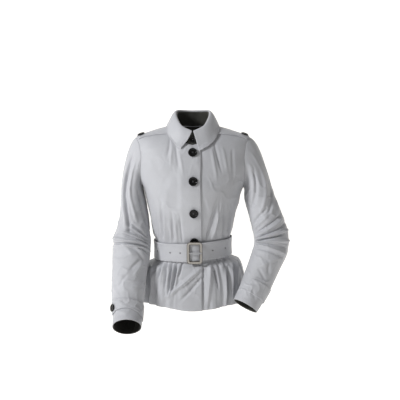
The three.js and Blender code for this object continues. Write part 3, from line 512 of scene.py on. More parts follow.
def torso(turn, z, lift=0.0):
    """Outer face of the cloth at a turn and height."""
    turn, z = np.broadcast_arrays(np.asarray(turn, float), np.asarray(z, float))
    wrapped = wrap(turn)
    across, ahead = sin(wrapped), cos(wrapped)
    front = ahead > 0
    level = z - waist_tilt(wrapped, z)
    depth = np.where(front, front_depth(level), back_depth(level))
    power = squareness(level)
    total = (np.abs(across) / half_width(level)) ** power + (np.abs(ahead) / depth) ** power
    base = total ** (-1 / power)
    x = base * across
    bodice = level > WAIST_Z
    above = fold_depth(BODICE_FOLDS, front, x, level)
    below = fold_depth(PEPLUM_FOLDS, front, x, level) + gather_depth(wrapped, front, x, level)
    (belt, belt_ramp), (neck, neck_ramp) = CRUMPLE_CALM["belt"], CRUMPLE_CALM["neck"]
    calm = ease((np.abs(level - WAIST_Z) - belt) / belt_ramp) * ease((neck - z) / neck_ramp)
    radius = base + np.where(bodice, above, below) + crumple(wrapped, z) * calm + lift
    return join(radius * across, -radius * ahead, z)


def torso_normal(turn, z, surface=torso):
    turn_step = surface(turn + TURN_STEP, z) - surface(turn - TURN_STEP, z)
    up_step = surface(turn, z + UP_STEP) - surface(turn, z - UP_STEP)
    return unit(np.cross(turn_step, up_step))


def over_lap(turn, z):
    x = torso(turn, z)[..., 0]
    rise = ease((x + LAP["waist_half"] + LAP["ramp"] + LAP["lead"]) / LAP["ramp"])
    return torso(turn, z, LAP["lift"] * rise)


def outside(points):
    turn = np.degrees(np.arctan2(points[..., 0], -points[..., 1]))
    reach = np.hypot(points[..., 0], points[..., 1])
    return reach - np.linalg.norm(torso(turn, points[..., 2])[..., :2], axis=-1)


def away_from_torso(points):
    slope = np.empty_like(points)
    for axis in range(3):
        step = np.zeros(3)
        step[axis] = PROBE
        slope[..., axis] = outside(points + step) - outside(points - step)
    steepness = np.linalg.norm(slope, axis=-1)
    return outside(points) / np.maximum(steepness, 1e-6), unit(slope)


def keep_clear(points, gap, passes=4):
    points = points.copy()
    gap = np.broadcast_to(gap, points.shape[:-1])
    near = outside(points) < NEAR[0] * gap + NEAR[1]
    close, room = points[near], gap[near]
    for _ in range(passes):
        distance, direction = away_from_torso(close)
        close += direction * np.maximum(room - distance, 0)[..., None]
    points[near] = close
    return points


def lap_turn(z):
    down = np.clip((z - LAP["top_z"]) / (LAP["waist_z"] - LAP["top_z"]), 0, 1)
    return np.degrees(np.arctan2(mix(LAP["top_half"], LAP["waist_half"], down), front_depth(z)))


def armhole(side, round_):
    middle = (SHOULDER_TIP_Z + ARMPIT_Z) / 2
    z = middle + (SHOULDER_TIP_Z - middle) * cos(round_)
    up = (1 + cos(round_)) / 2
    opening = ARMHOLE_TURN * np.sqrt(np.maximum(np.sin(np.pi * up), 0))
    return side * (SIDE_TURN - np.sign(sin(round_)) * opening), z


def side_edge(side, front, v):
    """Turn and height along the side seam and armhole, from the waist at 0 to the tip at 1."""
    down = 180 * (1 - np.clip((v - SIDE_SHARE) / (1 - SIDE_SHARE), 0, 1))
    arm_turn, arm_z = armhole(side, down if front else 360 - down)
    seam_z = mix(WAIST_Z + SEAM / 2, ARMPIT_Z, v / SIDE_SHARE)
    z = np.where(v < SIDE_SHARE, seam_z, arm_z)
    half_seam = np.degrees(SEAM / 2 / half_width(z)) * (-1 if front else 1)
    seam_turn = side * (SIDE_TURN + half_seam)
    at_seam = (v <= SIDE_SHARE) | (v >= 1)
    return join(np.where(at_seam, seam_turn, arm_turn), z)


def fill_panel(bottom, top, left, right):
    """Turns and heights inside four edges, by blending them."""
    v = shares(len(left))[:, None, None]
    u = shares(len(bottom))[None, :, None]
    corners = ((1 - u) * (1 - v) * bottom[0] + u * (1 - v) * bottom[-1]
               + (1 - u) * v * top[0] + u * v * top[-1])
    return ((1 - v) * bottom[None] + v * top[None]
            + (1 - u) * left[:, None] + u * right[:, None] - corners)


def grid_normals(points, ring=False):
    """Normals that point away from the middle of each ring, or from the garment's upright axis."""
    if ring:
        wide = np.concatenate([points[:, -2:-1], points, points[:, 1:2]], axis=1)
        across = wide[:, 2:] - wide[:, :-2]
        away = points - points.mean(axis=1, keepdims=True)
    else:
        across, away = np.gradient(points, axis=1), points * (1, 1, 0)
    normals = unit(np.cross(across, np.gradient(points, axis=0)))
    return normals * np.sign(np.sum(normals * away))


# Materials
def feed(tree, made, inputs):
    """Gives a node its inputs: another node's output is linked, and a value is set."""
    for key, value in inputs.items():
        if isinstance(value, bpy.types.NodeSocket):
            tree.links.new(value, made.inputs[key])
        else:
            made.inputs[key].default_value = value
    return made


def node(tree, kind, inputs=None, **settings):
    made = tree.nodes.new(f"ShaderNode{kind}")
    for key, value in settings.items():
        setattr(made, key, value)
    return feed(tree, made, inputs or {})


def grain(tree, place, scale, detail, roughness=0.5):
    return node(tree, "TexNoise", {"Vector": place, "Scale": scale, "Detail": detail,
                                   "Roughness": roughness}).outputs["Fac"]


def spread(tree, value, to_min, to_max, from_min=0.0, from_max=1.0):
    return node(tree, "MapRange", {"Value": value, "From Min": from_min, "From Max": from_max,
                                   "To Min": to_min, "To Max": to_max}).outputs["Result"]


def bump(tree, height, strength, distance, **below):
    return node(tree, "Bump", {"Height": height, "Strength": strength, "Distance": distance,
                               **below}).outputs["Normal"]


def times(tree, first, second):
    return node(tree, "Math", {0: first, 1: second}, operation="MULTIPLY").outputs[0]


def blend(tree, factor, first, second, kind="MIX"):
    return node(tree, "Mix", {"Factor": factor, "A": first, "B": second}, data_type="RGBA",
                blend_type=kind).outputs["Result"]


def ramp(tree, factor, *stops):
    made = node(tree, "ValToRGB", {"Fac": factor})
    for element, (position, colour) in zip(made.color_ramp.elements, stops):
        element.position = position
        element.color = (*colour, 1)
    return made.outputs["Color"]


def material(name, finish):
    """A new material whose inputs come from a function of its nodes and its place in space."""
    made = bpy.data.materials.new(name)
    made.use_nodes = True
    tree = made.node_tree
    place = node(tree, "TexCoord").outputs["Object"]
    feed(tree, tree.nodes["Principled BSDF"], finish(tree, place))
    return made


WEAVE = {"pitch": 0.9 * MM, "slant": 0.9, "slubs": (900, 90, 1)}


def woven_material(name, light, dark, roughness, sheen):
    """Fine twill with slubs, soft colour drift, seam puckers and paler worn edges."""
    def finish(tree, place):
        uv = node(tree, "UVMap", uv_map="weave").outputs["UV"]
        rim = node(tree, "Attribute", attribute_name="rim").outputs["Fac"]
        turned = node(tree, "Mapping", {"Vector": uv, "Rotation": (0, 0, WEAVE["slant"])})
        twill = node(tree, "TexWave", {
            "Vector": turned.outputs["Vector"], "Scale": 0.314 / WEAVE["pitch"] / 2,
            "Distortion": 0.6, "Detail": 2.0, "Detail Scale": 3.0}).outputs["Fac"]
        stretched = node(tree, "Mapping", {"Vector": uv, "Scale": WEAVE["slubs"]})
        threads = times(tree, twill, grain(tree, stretched.outputs["Vector"], 1.0, 3.0))
        drift = grain(tree, place, 7.0, 4.0, 0.6)
        pale = (*[min(1, c * 1.25) for c in light], 1)
        body = ramp(tree, drift, (0.3, dark), (0.7, light))
        edged = blend(tree, spread(tree, rim, 0.35, 0.0, 0.0, 1.6), body, pale)
        shade = spread(tree, threads, 0.93, 1.03, 0.1, 0.6)
        near_seam = spread(tree, rim, 1.0, 0.12, 2.0, 14.0)
        puckers = times(tree, grain(tree, place, 110.0, 2.0), near_seam)
        soft = bump(tree, grain(tree, place, 26.0, 3.0), 0.35, 0.004)
        puckered = bump(tree, puckers, 0.35, 0.002, Normal=soft)
        return {
            "Base Color": blend(tree, 1.0, edged, shade, "MULTIPLY"),
            "Roughness": spread(tree, drift, roughness - 0.06, roughness + 0.06),
            "Normal": bump(tree, threads, 0.25, 0.0003, Normal=puckered),
            "Sheen Weight": sheen, "Sheen Roughness": 0.4, "Specular IOR Level": 0.35,
        }

    return material(name, finish)


def plain_material(name, light, dark, roughness, scale, strength, **uniform):
    """Solid finish with soft colour and gloss variation and a fine grain."""
    def finish(tree, place):
        fine = grain(tree, place, scale, 5.0)
        return {
            "Base Color": ramp(tree, fine, (0.35, dark), (0.7, light)),
            "Roughness": spread(tree, fine, max(0.02, roughness - 0.08), roughness + 0.1),
            "Normal": bump(tree, fine, strength, 0.0004), **uniform,
        }

    return material(name, finish)


CLOTH_FACE = woven_material("cotton gabardine", (0.44, 0.448, 0.478), (0.38, 0.387, 0.413), 0.6, 0.3)
LINING = woven_material("dark lining", (0.05, 0.05, 0.045), (0.03, 0.03, 0.026), 0.45, 0.1)
THREAD = plain_material("sewing thread", (0.50, 0.51, 0.54), (0.40, 0.41, 0.44), 0.6, 900, 0.4)
# Dark thread for eyelets and button threads, also the painted shade in the buttonhole slits.
DARK_THREAD_AND_SLIT_SHADE = plain_material("dark thread and slit shade", (0.16, 0.16, 0.18), (0.09, 0.09, 0.1), 0.6, 900, 0.4)
BUTTON_BLACK = plain_material("button black", (0.006, 0.006, 0.007), (0.003, 0.003, 0.003), 0.14,
                              300, 0.05, **{"Specular IOR Level": 0.2})
COVERED = plain_material("buckle covering", (0.37, 0.355, 0.33), (0.29, 0.275, 0.25), 0.55, 600, 0.6)
PRONG = plain_material("prong covering", (0.33, 0.335, 0.35), (0.26, 0.265, 0.28), 0.55, 600, 0.6)
# Dark brown for the buckle's edges, partly painted shadow in the gaps beside the frame; also painted
# shade in the eyelet holes and at the prong's tip.
DARK_EDGE_AND_SHADE = plain_material("buckle edge and painted shade", (0.10, 0.085, 0.07), (0.05, 0.04, 0.035), 0.5, 700, 0.4)


# Mesh making
def mesh_from(bm, name):
    mesh = bpy.data.meshes.new(name)
    bm.to_mesh(mesh)
    bm.free()
    return mesh


def placed(name, data, *materials):
    made = bpy.data.objects.new(name, data)
    bpy.context.collection.objects.link(made)
    for item in materials:
        data.materials.append(item)
    return made


def own(piece, slot, *nodes):
    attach(piece, "root")
    if nodes:
        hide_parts(*nodes)
    return piece


def grid_mesh(name, points):
    """A mesh grid laid on the given points, and the row and column of each vertex."""
    rows, columns = points.shape[:2]
    bm = bmesh.new()
    bmesh.ops.create_grid(bm, x_segments=columns - 1, y_segments=rows - 1, size=1)
    mesh = mesh_from(bm, name)
    share = np.empty(len(mesh.vertices) * 3)
    mesh.vertices.foreach_get("co", share)
    share = (share.reshape(-1, 3) + 1) / 2
    row_at = np.rint(share[:, 1] * (rows - 1)).astype(int)
    column_at = np.rint(share[:, 0] * (columns - 1)).astype(int)
    mesh.vertices.foreach_set("co", (points[row_at, column_at] * MM).ravel())
    return mesh, row_at, column_at


def measure(points):
    """Lengths along the rows and down the columns of a grid."""
    across = np.linalg.norm(np.diff(points, axis=1), axis=-1)
    along = np.linalg.norm(np.diff(points, axis=0), axis=-1)
    u = np.concatenate([np.zeros((len(points), 1)), np.cumsum(across, axis=1)], axis=1)
    v = np.concatenate([np.zeros((1, points.shape[1])), np.cumsum(along, axis=0)], axis=0)
    return u, v


def cloth_object(name, stands_for, points, normals, inside=None, thick=DOUBLE_CLOTH,
                 face=CLOTH_FACE, ring=False, slot="cloth"):
    """A sheet of cloth: its outer face on a grid of points, and its thickness inwards."""
    mesh, row_at, column_at = grid_mesh(name, points)
    rows, columns = points.shape[:2]
    u, v = measure(points)
    corner = np.empty(len(mesh.loops), int)
    mesh.loops.foreach_get("vertex_index", corner)
    uv = join(u[row_at, column_at][corner], v[row_at, column_at][corner]) * MM
    mesh.uv_layers.new(name="weave").data.foreach_set("uv", uv.ravel())
    rim = np.minimum(v, v[-1] - v)
    if not ring:
        rim = np.minimum(rim, np.minimum(u, u[:, -1:] - u))
    mesh.attributes.new("rim", "FLOAT", "POINT").data.foreach_set("value", rim[row_at, column_at])

    bm = bmesh.new()
    bm.from_mesh(mesh)
    if ring:
        bm.verts.ensure_lookup_table()
        seam = [bm.verts[i] for i in np.flatnonzero((column_at == 0) | (column_at == columns - 1))]
        bmesh.ops.remove_doubles(bm, verts=seam, dist=1e-6)
    bm.faces.ensure_lookup_table()
    middle = bm.faces[len(bm.faces) // 2]
    centre = np.array(middle.calc_center_median()) / MM
    nearest = np.unravel_index(np.argmin(np.linalg.norm(points - centre, axis=-1)), (rows, columns))
    if np.dot(np.array(middle.normal), normals[nearest]) < 0:
        bmesh.ops.reverse_faces(bm, faces=bm.faces)
    bm.to_mesh(mesh)
    bm.free()
    mesh.shade_smooth()
    piece = placed(name, mesh, face, inside or face)
    wall = piece.modifiers.new("thickness", "SOLIDIFY")
    wall.thickness = thick * MM
    wall.offset = -1
    wall.material_offset = 1
    wall.material_offset_rim = 0
    return own(piece, slot, stands_for)


PANELS = {}


def panel(name, points, normals, *more, **named):
    cloth_object(f"{name}_cloth", name, points, normals, *more, **named)
    PANELS[name] = points, normals


# Seams and topstitching
STITCH = {"length": 2.3, "pitch": 3.3, "radius": 0.32, "flat": 0.8, "rise": 0.12, "reach": 0.6}

# Stitches that differ from topstitching, and small dark marks of painted shade made like stitches:
# length, pitch and radius
BUTTONHOLE_STITCH = (1.0, 0.85, 0.45)
SLIT_SHADE = (4, 3, 0.3)
EYELET_STITCH = (1.3, 1.0, 0.42)
NICK_SHADE = (4.4, 6, 0.7)
EYELET_HOLE_SHADE = (3.2, 2.0, 1.6)


def stitches(name, runs, length=STITCH["length"], pitch=STITCH["pitch"], radius=STITCH["radius"],
             finish=THREAD, slot="cloth"):
    """Small raised stitches along runs of points and normals, as one mesh."""
    bm = bmesh.new()
    for path, normals in runs:
        step = np.linalg.norm(np.diff(path, axis=0), axis=1)
        reach = np.concatenate([[0], np.cumsum(step)])
        at = lambda line, spot: np.array([np.interp(spot, reach, line[:, i]) for i in range(3)])
        for spot in np.arange(pitch / 2, reach[-1], pitch):
            ahead, behind = at(path, spot + STITCH["reach"]), at(path, spot - STITCH["reach"])
            along = Vector(ahead - behind).normalized()
            side = Vector(at(normals, spot)).cross(along).normalized()
            rise = along.cross(side)
            turn = Matrix((along, side, rise)).transposed().to_4x4()
            size = Matrix.Diagonal((length / 2, radius, radius * STITCH["flat"], 1))
            place = Matrix.Translation(Vector(at(path, spot)) + rise * STITCH["rise"]) @ turn @ size
            bmesh.ops.create_icosphere(bm, subdivisions=1, radius=1, matrix=place)
    bmesh.ops.scale(bm, vec=(MM, MM, MM), verts=bm.verts)
    mesh = mesh_from(bm, name)
    mesh.shade_smooth()
    return own(placed(name, mesh, finish), slot)


def sample(grid, rows, columns):
    """Points of a grid at places between its rows and columns."""
    rows = np.clip(rows, 0, grid.shape[0] - 1.001)
    columns = np.clip(columns, 0, grid.shape[1] - 1.001)
    i, j = rows.astype(int), columns.astype(int)
    s, t = (rows - i)[:, None], (columns - j)[:, None]
    low = mix(grid[i, j], grid[i, j + 1], t)
    return mix(low, mix(grid[i + 1, j], grid[i + 1, j + 1], t), s)


def edge_run(points, normals, edge, inset, start=0.0, end=1.0):
    """A run of stitching at a distance inside one edge of a grid."""
    if edge in ("bottom", "top"):
        points, normals = points.swapaxes(0, 1), normals.swapaxes(0, 1)
    lines = measure(points)[0]
    rows, columns = points.shape[:2]
    row_at = np.linspace(start, end, rows) * (rows - 1)
    away = [inset if edge in ("left", "bottom") else line[-1] - inset for line in lines]
    column_at = [np.interp(d, line, range(columns)) for d, line in zip(away, lines)]
    column_at = np.interp(row_at, range(rows), column_at)
    return sample(points, row_at, column_at), unit(sample(normals, row_at, column_at))


# Bodice and peplum
def lay_panel(name, turn, z, surface=torso):
    panel(name, surface(turn, z), torso_normal(turn, z, surface), LINING, CLOTH)


def bodice_front(name, side, rows=136, columns=84):
    v = shares(rows)
    right = side_edge(side, True, v)
    front_z = mix(WAIST_Z + SEAM / 2, neckline_z(NECK_STEP), np.clip(v / FRONT_SHARE, 0, 1))
    neck = np.clip((v - FRONT_SHARE) / (1 - FRONT_SHARE), 0, 1)
    neck_turn = side * mix(-NECK_STEP, SIDE_TURN, neck)
    start = mix(-side * lap_turn(front_z), -side * NECK_STEP, ease(v / FRONT_SHARE * 3 - 2))
    turn = np.where(v < FRONT_SHARE, start, neck_turn)
    z = np.where(v < FRONT_SHARE, front_z, neckline_z(neck_turn))
    left = join(turn, z)
    left[-1] = (right[-1][0], NECK_POINT_Z)
    u = shares(columns)[:, None]
    cells = fill_panel(mix(left[0], right[0], u), mix(left[-1], right[-1], u), left, right)
    lay_panel(name, cells[..., 0], cells[..., 1], over_lap if side < 0 else torso)


def bodice_back(name, rows=130, columns=161):
    v, u = shares(rows), shares(columns)
    left = side_edge(1, False, v)
    right = side_edge(-1, False, v) + np.array([360, 0])
    shoulder_in = np.clip(u / SHOULDER_SHARE, 0, 1)
    shoulder_out = np.clip((1 - u) / SHOULDER_SHARE, 0, 1)
    across = np.clip((u - SHOULDER_SHARE) / (1 - 2 * SHOULDER_SHARE), 0, 1)
    turn = mix(left[-1][0], right[-1][0], across)
    rise = np.minimum(shoulder_in, shoulder_out)
    z = np.where(rise < 1, mix(SHOULDER_TIP_Z, NECK_POINT_Z, rise), neckline_z(turn))
    top = join(turn, z)
    bottom = mix(left[0], right[0], u[:, None])
    cells = fill_panel(bottom, top, left, right)
    lay_panel(name, cells[..., 0], cells[..., 1])


def hem_z(turn):
    x = torso(turn, HEM_Z)[..., 0]
    return HEM_Z + HEM_RISE * ease(np.abs(x) / HEM_RISE_AT)


def peplum(name, start, end, columns, surface=torso, rows=76):
    share = shares(rows)[:, None] ** ROWS_CLOSER
    level = mix(WAIST_Z - SEAM / 2, HEM_Z, share)
    turn = mix(start(level), end(level), shares(columns)[None, :])
    z = mix(WAIST_Z - SEAM / 2, hem_z(turn), share)
    z = z + waist_tilt(turn, z) * ease(share * TILT_BLEND)
    lay_panel(name, turn, z, surface)


# Sleeves
def sleeve_surface(name):
    sleeve = SLEEVES[name]
    side, rings = SIDES[name], sleeve["rings"]
    line = spline([(side * ring["out"], ring["y"], ring["z"]) for ring in rings])
    last = len(rings) - 1
    numbered = [dict(ring, at=i) for i, ring in enumerate(rings)]
    wide, deep = column(numbered, "at", "wide"), column(numbered, "at", "deep")

    def tangent(at):
        return unit(line((at + RING_PROBE) / last) - line((at - RING_PROBE) / last))

    def creased(at, round_):
        angle = np.minimum(round_ % 360, 360 - round_ % 360)
        around = np.where(round_ % 360 > 180, UNDERSIDE_NOISE, 0) + angle * ROUND_STEP
        below_cap = (at + NOISE_RINGS_BEFORE) * RING_NOISE_STEP
        swell, creases = worn(around, below_cap, SLEEVE_CRUMPLE, SLEEVE_WARP, side)
        calm = ease(angle / SLEEVE_SEAM_CALM) * ease((180 - angle) / SLEEVE_SEAM_CALM)
        lift = (swell + creases) * calm
        for fold in sleeve["folds"]:
            start_at, run_at = fold["at"] * RING_STEP, (fold["to_at"] - fold["at"]) * RING_STEP
            run_round = (fold["to_round"] - fold["round"]) * ROUND_STEP
            below = at * RING_STEP - start_at
            across = wrap(round_ - fold["round"] - 90) * ROUND_STEP + 90 * ROUND_STEP
            length = math.hypot(run_at, run_round)
            t = (below * run_at + across * run_round) / length ** 2
            off = (below * run_round - across * run_at) / length
            lift = lift + fold["depth"] * faded(t, *SLEEVE_FADE["fold"]) * crisp(off / fold["half"])
        return lift * ease((last - at) / SLEEVE_FADE["cuff"]) * ease((at + 1) / SLEEVE_FADE["cap"])

    def arm(at, round_, lift=0.0):
        along = tangent(np.clip(at, RING_END, last - RING_END))
        out = unit(np.array([side, 0, 0]) - side * along[..., :1] * along)
        fore = np.cross(along, out) * side
        width = (wide(at) + lift)[..., None] * cos(round_)[..., None]
        depth = (deep(at) + lift)[..., None] * sin(round_)[..., None]
        return line(at / last) + out * width + fore * depth

    def start(round_):
        turn, z = armhole(side, round_)
        before, after = (armhole(side, round_ + step) for step in (-ARMHOLE_STEP, ARMHOLE_STEP))
        away = unit(np.cross(torso(*after) - torso(*before), torso_normal(turn, z)))
        point = torso(turn, z)
        middle = torso(side * SIDE_TURN, (SHOULDER_TIP_Z + ARMPIT_Z) / 2)
        away = away * np.sign(np.sum(away * (middle - point), axis=-1, keepdims=True))
        return point + away * CAP_SEAM

    def surface(at, round_):
        at, round_ = np.broadcast_arrays(np.asarray(at, float), np.asarray(round_, float))
        t = np.clip(at + 1, 0, 1)[..., None]
        first, to = start(round_), arm(np.zeros_like(at), round_)
        reach = np.linalg.norm(to - first, axis=-1, keepdims=True)
        leave = np.array([side * sleeve["cap_out"], 0, -CAP_DROP]) * reach
        arrive = tangent(np.full_like(at, RING_END)) * CAP_ARRIVE * reach
        cap = cubic(first, to, leave, arrive, t)
        lift = creased(at, round_)
        cap = cap + unit(to - line(np.zeros_like(at))) * lift[..., None]
        points = np.where(at[..., None] < 0, cap, arm(np.maximum(at, 0), round_, lift))
        z = points[..., 2]
        near_belt = ease((BELT_WIDTH + BELT_RAMP - np.abs(z - WAIST_Z)) / BELT_RAMP)
        below_armpit = ease((ARMPIT_Z - ARMPIT_RAMP[0] - z) / ARMPIT_RAMP[1])
        room = mix(SLEEVE_TO_BODY, SLEEVE_TO_BELT, near_belt) * below_armpit
        return np.where(room[..., None] > 0.01, keep_clear(points, room), points)

    return surface, line, last


def sleeve_spots(shape, at, round_):
    surface, line, last = shape
    points = surface(at, round_)
    ring, turn = SPOT_STEP
    along = surface(at + ring, round_) - surface(at - ring, round_)
    across = surface(at, round_ + turn) - surface(at, round_ - turn)
    normals = unit(np.cross(along, across))
    out = points - line(np.clip(at, 0, last) / last)
    return points, normals * np.sign(np.sum(normals * out, axis=-1, keepdims=True))


def build_sleeve(name, rows=200, cap_rows=60, columns=105):
    shape = sleeve_surface(name)
    surface, _, last = shape
    cap = np.linspace(-1, 0, cap_rows)[:-1]
    at = np.concatenate([cap, np.linspace(0, last, rows)])[:, None]
    round_ = np.linspace(0, 360, columns)[None, :]
    points = surface(at, round_ % 360)
    normals = grid_normals(points, True)
    panel(f"sleeve_{name}", points, normals, LINING, CLOTH, ring=True)
    cut = at[:, 0] > last - LINING_RINGS
    inner = points[cut] - normals[cut] * (CLOTH + SEAM)
    cloth_object(f"sleeve_{name}_lining", f"sleeve_lining_{name}", inner, normals[cut], LINING,
                 LINING_CLOTH, LINING, True, "lining")
    return shape


def build_strap(name, shape, rows=28, columns=110):
    strap = SLEEVES[name]["strap"]
    last = shape[2]
    low, high = last - strap["low"], last - strap["high"]
    round_ = mix(strap["start"], strap["end"], shares(columns))[None, :]
    from_point = np.clip((round_ - strap["start"]) / STRAP_POINT["turns"], 0, 1)
    pointed = mix(STRAP_POINT["half"], 1, from_point)
    middle = lambda angle: ((low + high + strap["lean"] * (1 - cos(angle))) / 2
                            - strap["arch"] * sin(angle))
    at = middle(round_) + np.linspace(-0.5, 0.5, rows)[:, None] * (low - high) * pointed
    base, normals = sleeve_spots(shape, at, np.broadcast_to(round_, at.shape))
    panel(f"cuff_strap_{name}", base + normals * (STRAP_ON_SLEEVE + DOUBLE_CLOTH), normals)
    button = np.array([float(strap["button"])])
    spot, normal = sleeve_spots(shape, middle(button), button)
    return spot[0], normal[0]


# Collar
def collar_line(kind):
    half = [np.array(row[kind], float) for row in COLLAR]
    right = [p * (-1, 1, 1) for p in half]
    left = half[-2::-1]
    if kind == "edge":
        right[0] = np.array(COLLAR_POINTS["right"], float)
        left[-1] = np.array(COLLAR_POINTS["left"], float)
    return spline(right + left)


def build_collar_fall(name="collar_fall", rows=56, columns=220):
    u = shares(columns)
    fold, edge = collar_line("fold")(u), collar_line("edge")(u)
    flat = unit(fold * (1, 1, 0))
    lines, n = [], COLLAR_NOISE
    steps = np.concatenate([np.linspace(-COLLAR_CURL, 0, CURL_ROWS)[:-1], shares(rows)])
    for down in steps:
        if down <= 0:
            curl = math.radians(90 * down / -COLLAR_CURL)
            p = fold - flat * COLLAR_ROLL * math.sin(curl)
            p[:, 2] = fold[:, 2] - COLLAR_ROLL * (1 - math.cos(curl))
        else:
            p = mix(fold, edge, down)
            p = p + flat * COLLAR_BULGE * math.sin(math.pi * math.sqrt(down))
            wave = noise(u * n["length"], down * n["depth"], n["cell"], n["seed"])
            p = p + flat * (n["height"] * wave)[:, None] * down
            p[:, 0] += COLLAR_BOW * math.sin(math.pi * down) * ease(1 - u / COLLAR_BOW_SHARE)
        lines.append(p)
    points = np.array(lines)
    settled = ease((steps - COLLAR_SETTLE[0]) / COLLAR_SETTLE[1])[:, None, None]
    points = mix(points, keep_clear(points, COLLAR_TO_BODY), settled)
    panel(name, points, grid_normals(points))


FOLD_ROWS = [dict(turn=math.degrees(math.atan2(x, -y)), reach=math.hypot(x, y), z=z)
             for x, y, z in (row["fold"] for row in COLLAR)]
fold_reach = column(FOLD_ROWS, "turn", "reach")
fold_z = column(FOLD_ROWS, "turn", "z")


def stand_surface(turn, up):
    away = np.abs(wrap(turn))
    inside = ease((-turn - STAND_LAPS[0]) / STAND_LAPS[1])
    low = torso(turn, neckline_z(turn))
    low[..., 2] += STAND_FOOT
    reach = fold_reach(away) - STAND_IN
    across, ahead = sin(turn), cos(turn)
    top = join(reach * across, -reach * ahead, fold_z(away) - COLLAR_ROLL - 1)
    flat = unit(low * (1, 1, 0))
    return mix(low, top, up[..., None]) - flat * (STAND_LAP * inside)[..., None]


def build_stand(name="collar_stand", rows=24, columns=300):
    up, turn = np.meshgrid(shares(rows),
                           np.linspace(NECK_STEP, -360 - NECK_STEP, columns), indexing="ij")
    points = stand_surface(turn, up)
    # The stand's outer face takes the dark lining: a real lining that also stands for painted shade
    # under the collar leaves in the V at the neck.
    panel(name, points, grid_normals(points), face=LINING, slot="lining")


# Epaulettes
def shoulder_spots(x, y):
    low, high = (np.full_like(x, end) for end in SHOULDER_SEARCH)
    for _ in range(30):
        z = (low + high) / 2
        above = outside(join(x, y, z)) > 0
        high, low = np.where(above, z, high), np.where(above, low, z)
    points = join(x, y, (low + high) / 2)
    return points, away_from_torso(points)[1]


def build_epaulette(name, side, rows=44, columns=100):
    e = EPAULETTE
    u = shares(columns)[None, :]
    x = mix(e["inner"], e["outer"], u)
    body = mix(e["inner_half"], e["outer_half"], u)
    half = mix(EPAULETTE_END_HALF, body, ease((e["outer"] - x) / EPAULETTE_POINT))
    y = mix(e["inner_y"], e["outer_y"], u) + np.linspace(-1, 1, rows)[:, None] * half
    base, normals = shoulder_spots(np.broadcast_to(side * x, y.shape), y)
    panel(name, base + normals * (ON_CLOTH + DOUBLE_CLOTH), normals)
    middle = (EPAULETTE_BUTTON_X - e["inner"]) / (e["outer"] - e["inner"])
    spot = shoulder_spots(np.array([side * EPAULETTE_BUTTON_X]),
                          np.array([mix(e["inner_y"], e["outer_y"], middle)]))
    return spot[0][0], spot[1][0]


# Belt
def belt_surface(turn, up):
    calm = torso(turn, WAIST_Z)
    room = BUTTON_ROOM * np.exp(-((calm[..., 0] / BUTTON_ROOM_HALF) ** 2)) * (calm[..., 1] < 0)
    over = ease((-turn - BELT_LAPS[0]) / BELT_LAPS[1])
    gap = BELT_GAP + room + BELT_LAYER * over + BELT_CLOTH + BELT_CUP * np.abs(up - 0.5)
    wave = noise(turn * 2.2, up * 30, BELT_NOISE["cell"], BELT_NOISE["seed"])
    gap = gap + BELT_NOISE["height"] * wave
    points = torso(turn, np.full_like(turn, WAIST_Z), gap)
    wander = BELT_WANDER * sin(turn * 2 + 40)
    points[..., 2] = WAIST_Z + (up - 0.5) * BELT_WIDTH + WAIST_TILT * points[..., 0] + wander
    return points


def build_belt(name="belt", rows=26, columns=460):
    up, turn = np.meshgrid(shares(rows), np.linspace(BELT_START, BELT_END, columns),
                           indexing="ij")
    points = belt_surface(turn, up)
    panel(name, points, grid_normals(points), None, BELT_CLOTH)


# Buckle: one bar swept round a rounded rectangle
def rounded_outline(width, height, corner, steps=14):
    outline = []
    for quarter, (sx, sz) in enumerate(((1, 1), (-1, 1), (-1, -1), (1, -1))):
        for k in range(steps + 1):
            a = math.radians(90 * quarter + 90 * k / steps)
            outline.append((sx * (width / 2 - corner) + corner * math.cos(a),
                            sz * (height / 2 - corner) + corner * math.sin(a)))
    return np.array(outline)


def swept_frame(name, width, height, corner, across, thick, front, finish):
    """A bar swept round a rounded rectangle that faces -Y, its middle line given."""
    outline = rounded_outline(width, height, corner)
    outline = np.vstack([outline, outline[:1]])
    tangent = unit(np.roll(outline, -1, axis=0) - np.roll(outline, 1, axis=0))
    tangent[0] = tangent[-1] = (0, 1)
    out = join(tangent[:, 1], -tangent[:, 0])
    section = np.radians(np.linspace(0, 360, 33))
    rounder = lambda wave: np.sign(wave) * np.abs(wave) ** BAR_SQUARE
    aside = rounder(np.cos(section)) * across / 2
    ahead = rounder(np.sin(section)) * thick / 2
    x = BUCKLE["x"] + outline[:, None, 0] + out[:, None, 0] * aside
    z = WAIST_Z + WAIST_TILT * BUCKLE["x"] + outline[:, None, 1] + out[:, None, 1] * aside
    points = join(x, np.broadcast_to(front + thick / 2 - ahead, x.shape), z)
    mesh = grid_mesh(name, points)[0]
    bm = bmesh.new()
    bm.from_mesh(mesh)
    bmesh.ops.remove_doubles(bm, verts=bm.verts, dist=1e-6)
    bmesh.ops.recalc_face_normals(bm, faces=bm.faces)
    bm.to_mesh(mesh)
    bm.free()
    mesh.shade_smooth()
    return placed(name, mesh, finish)


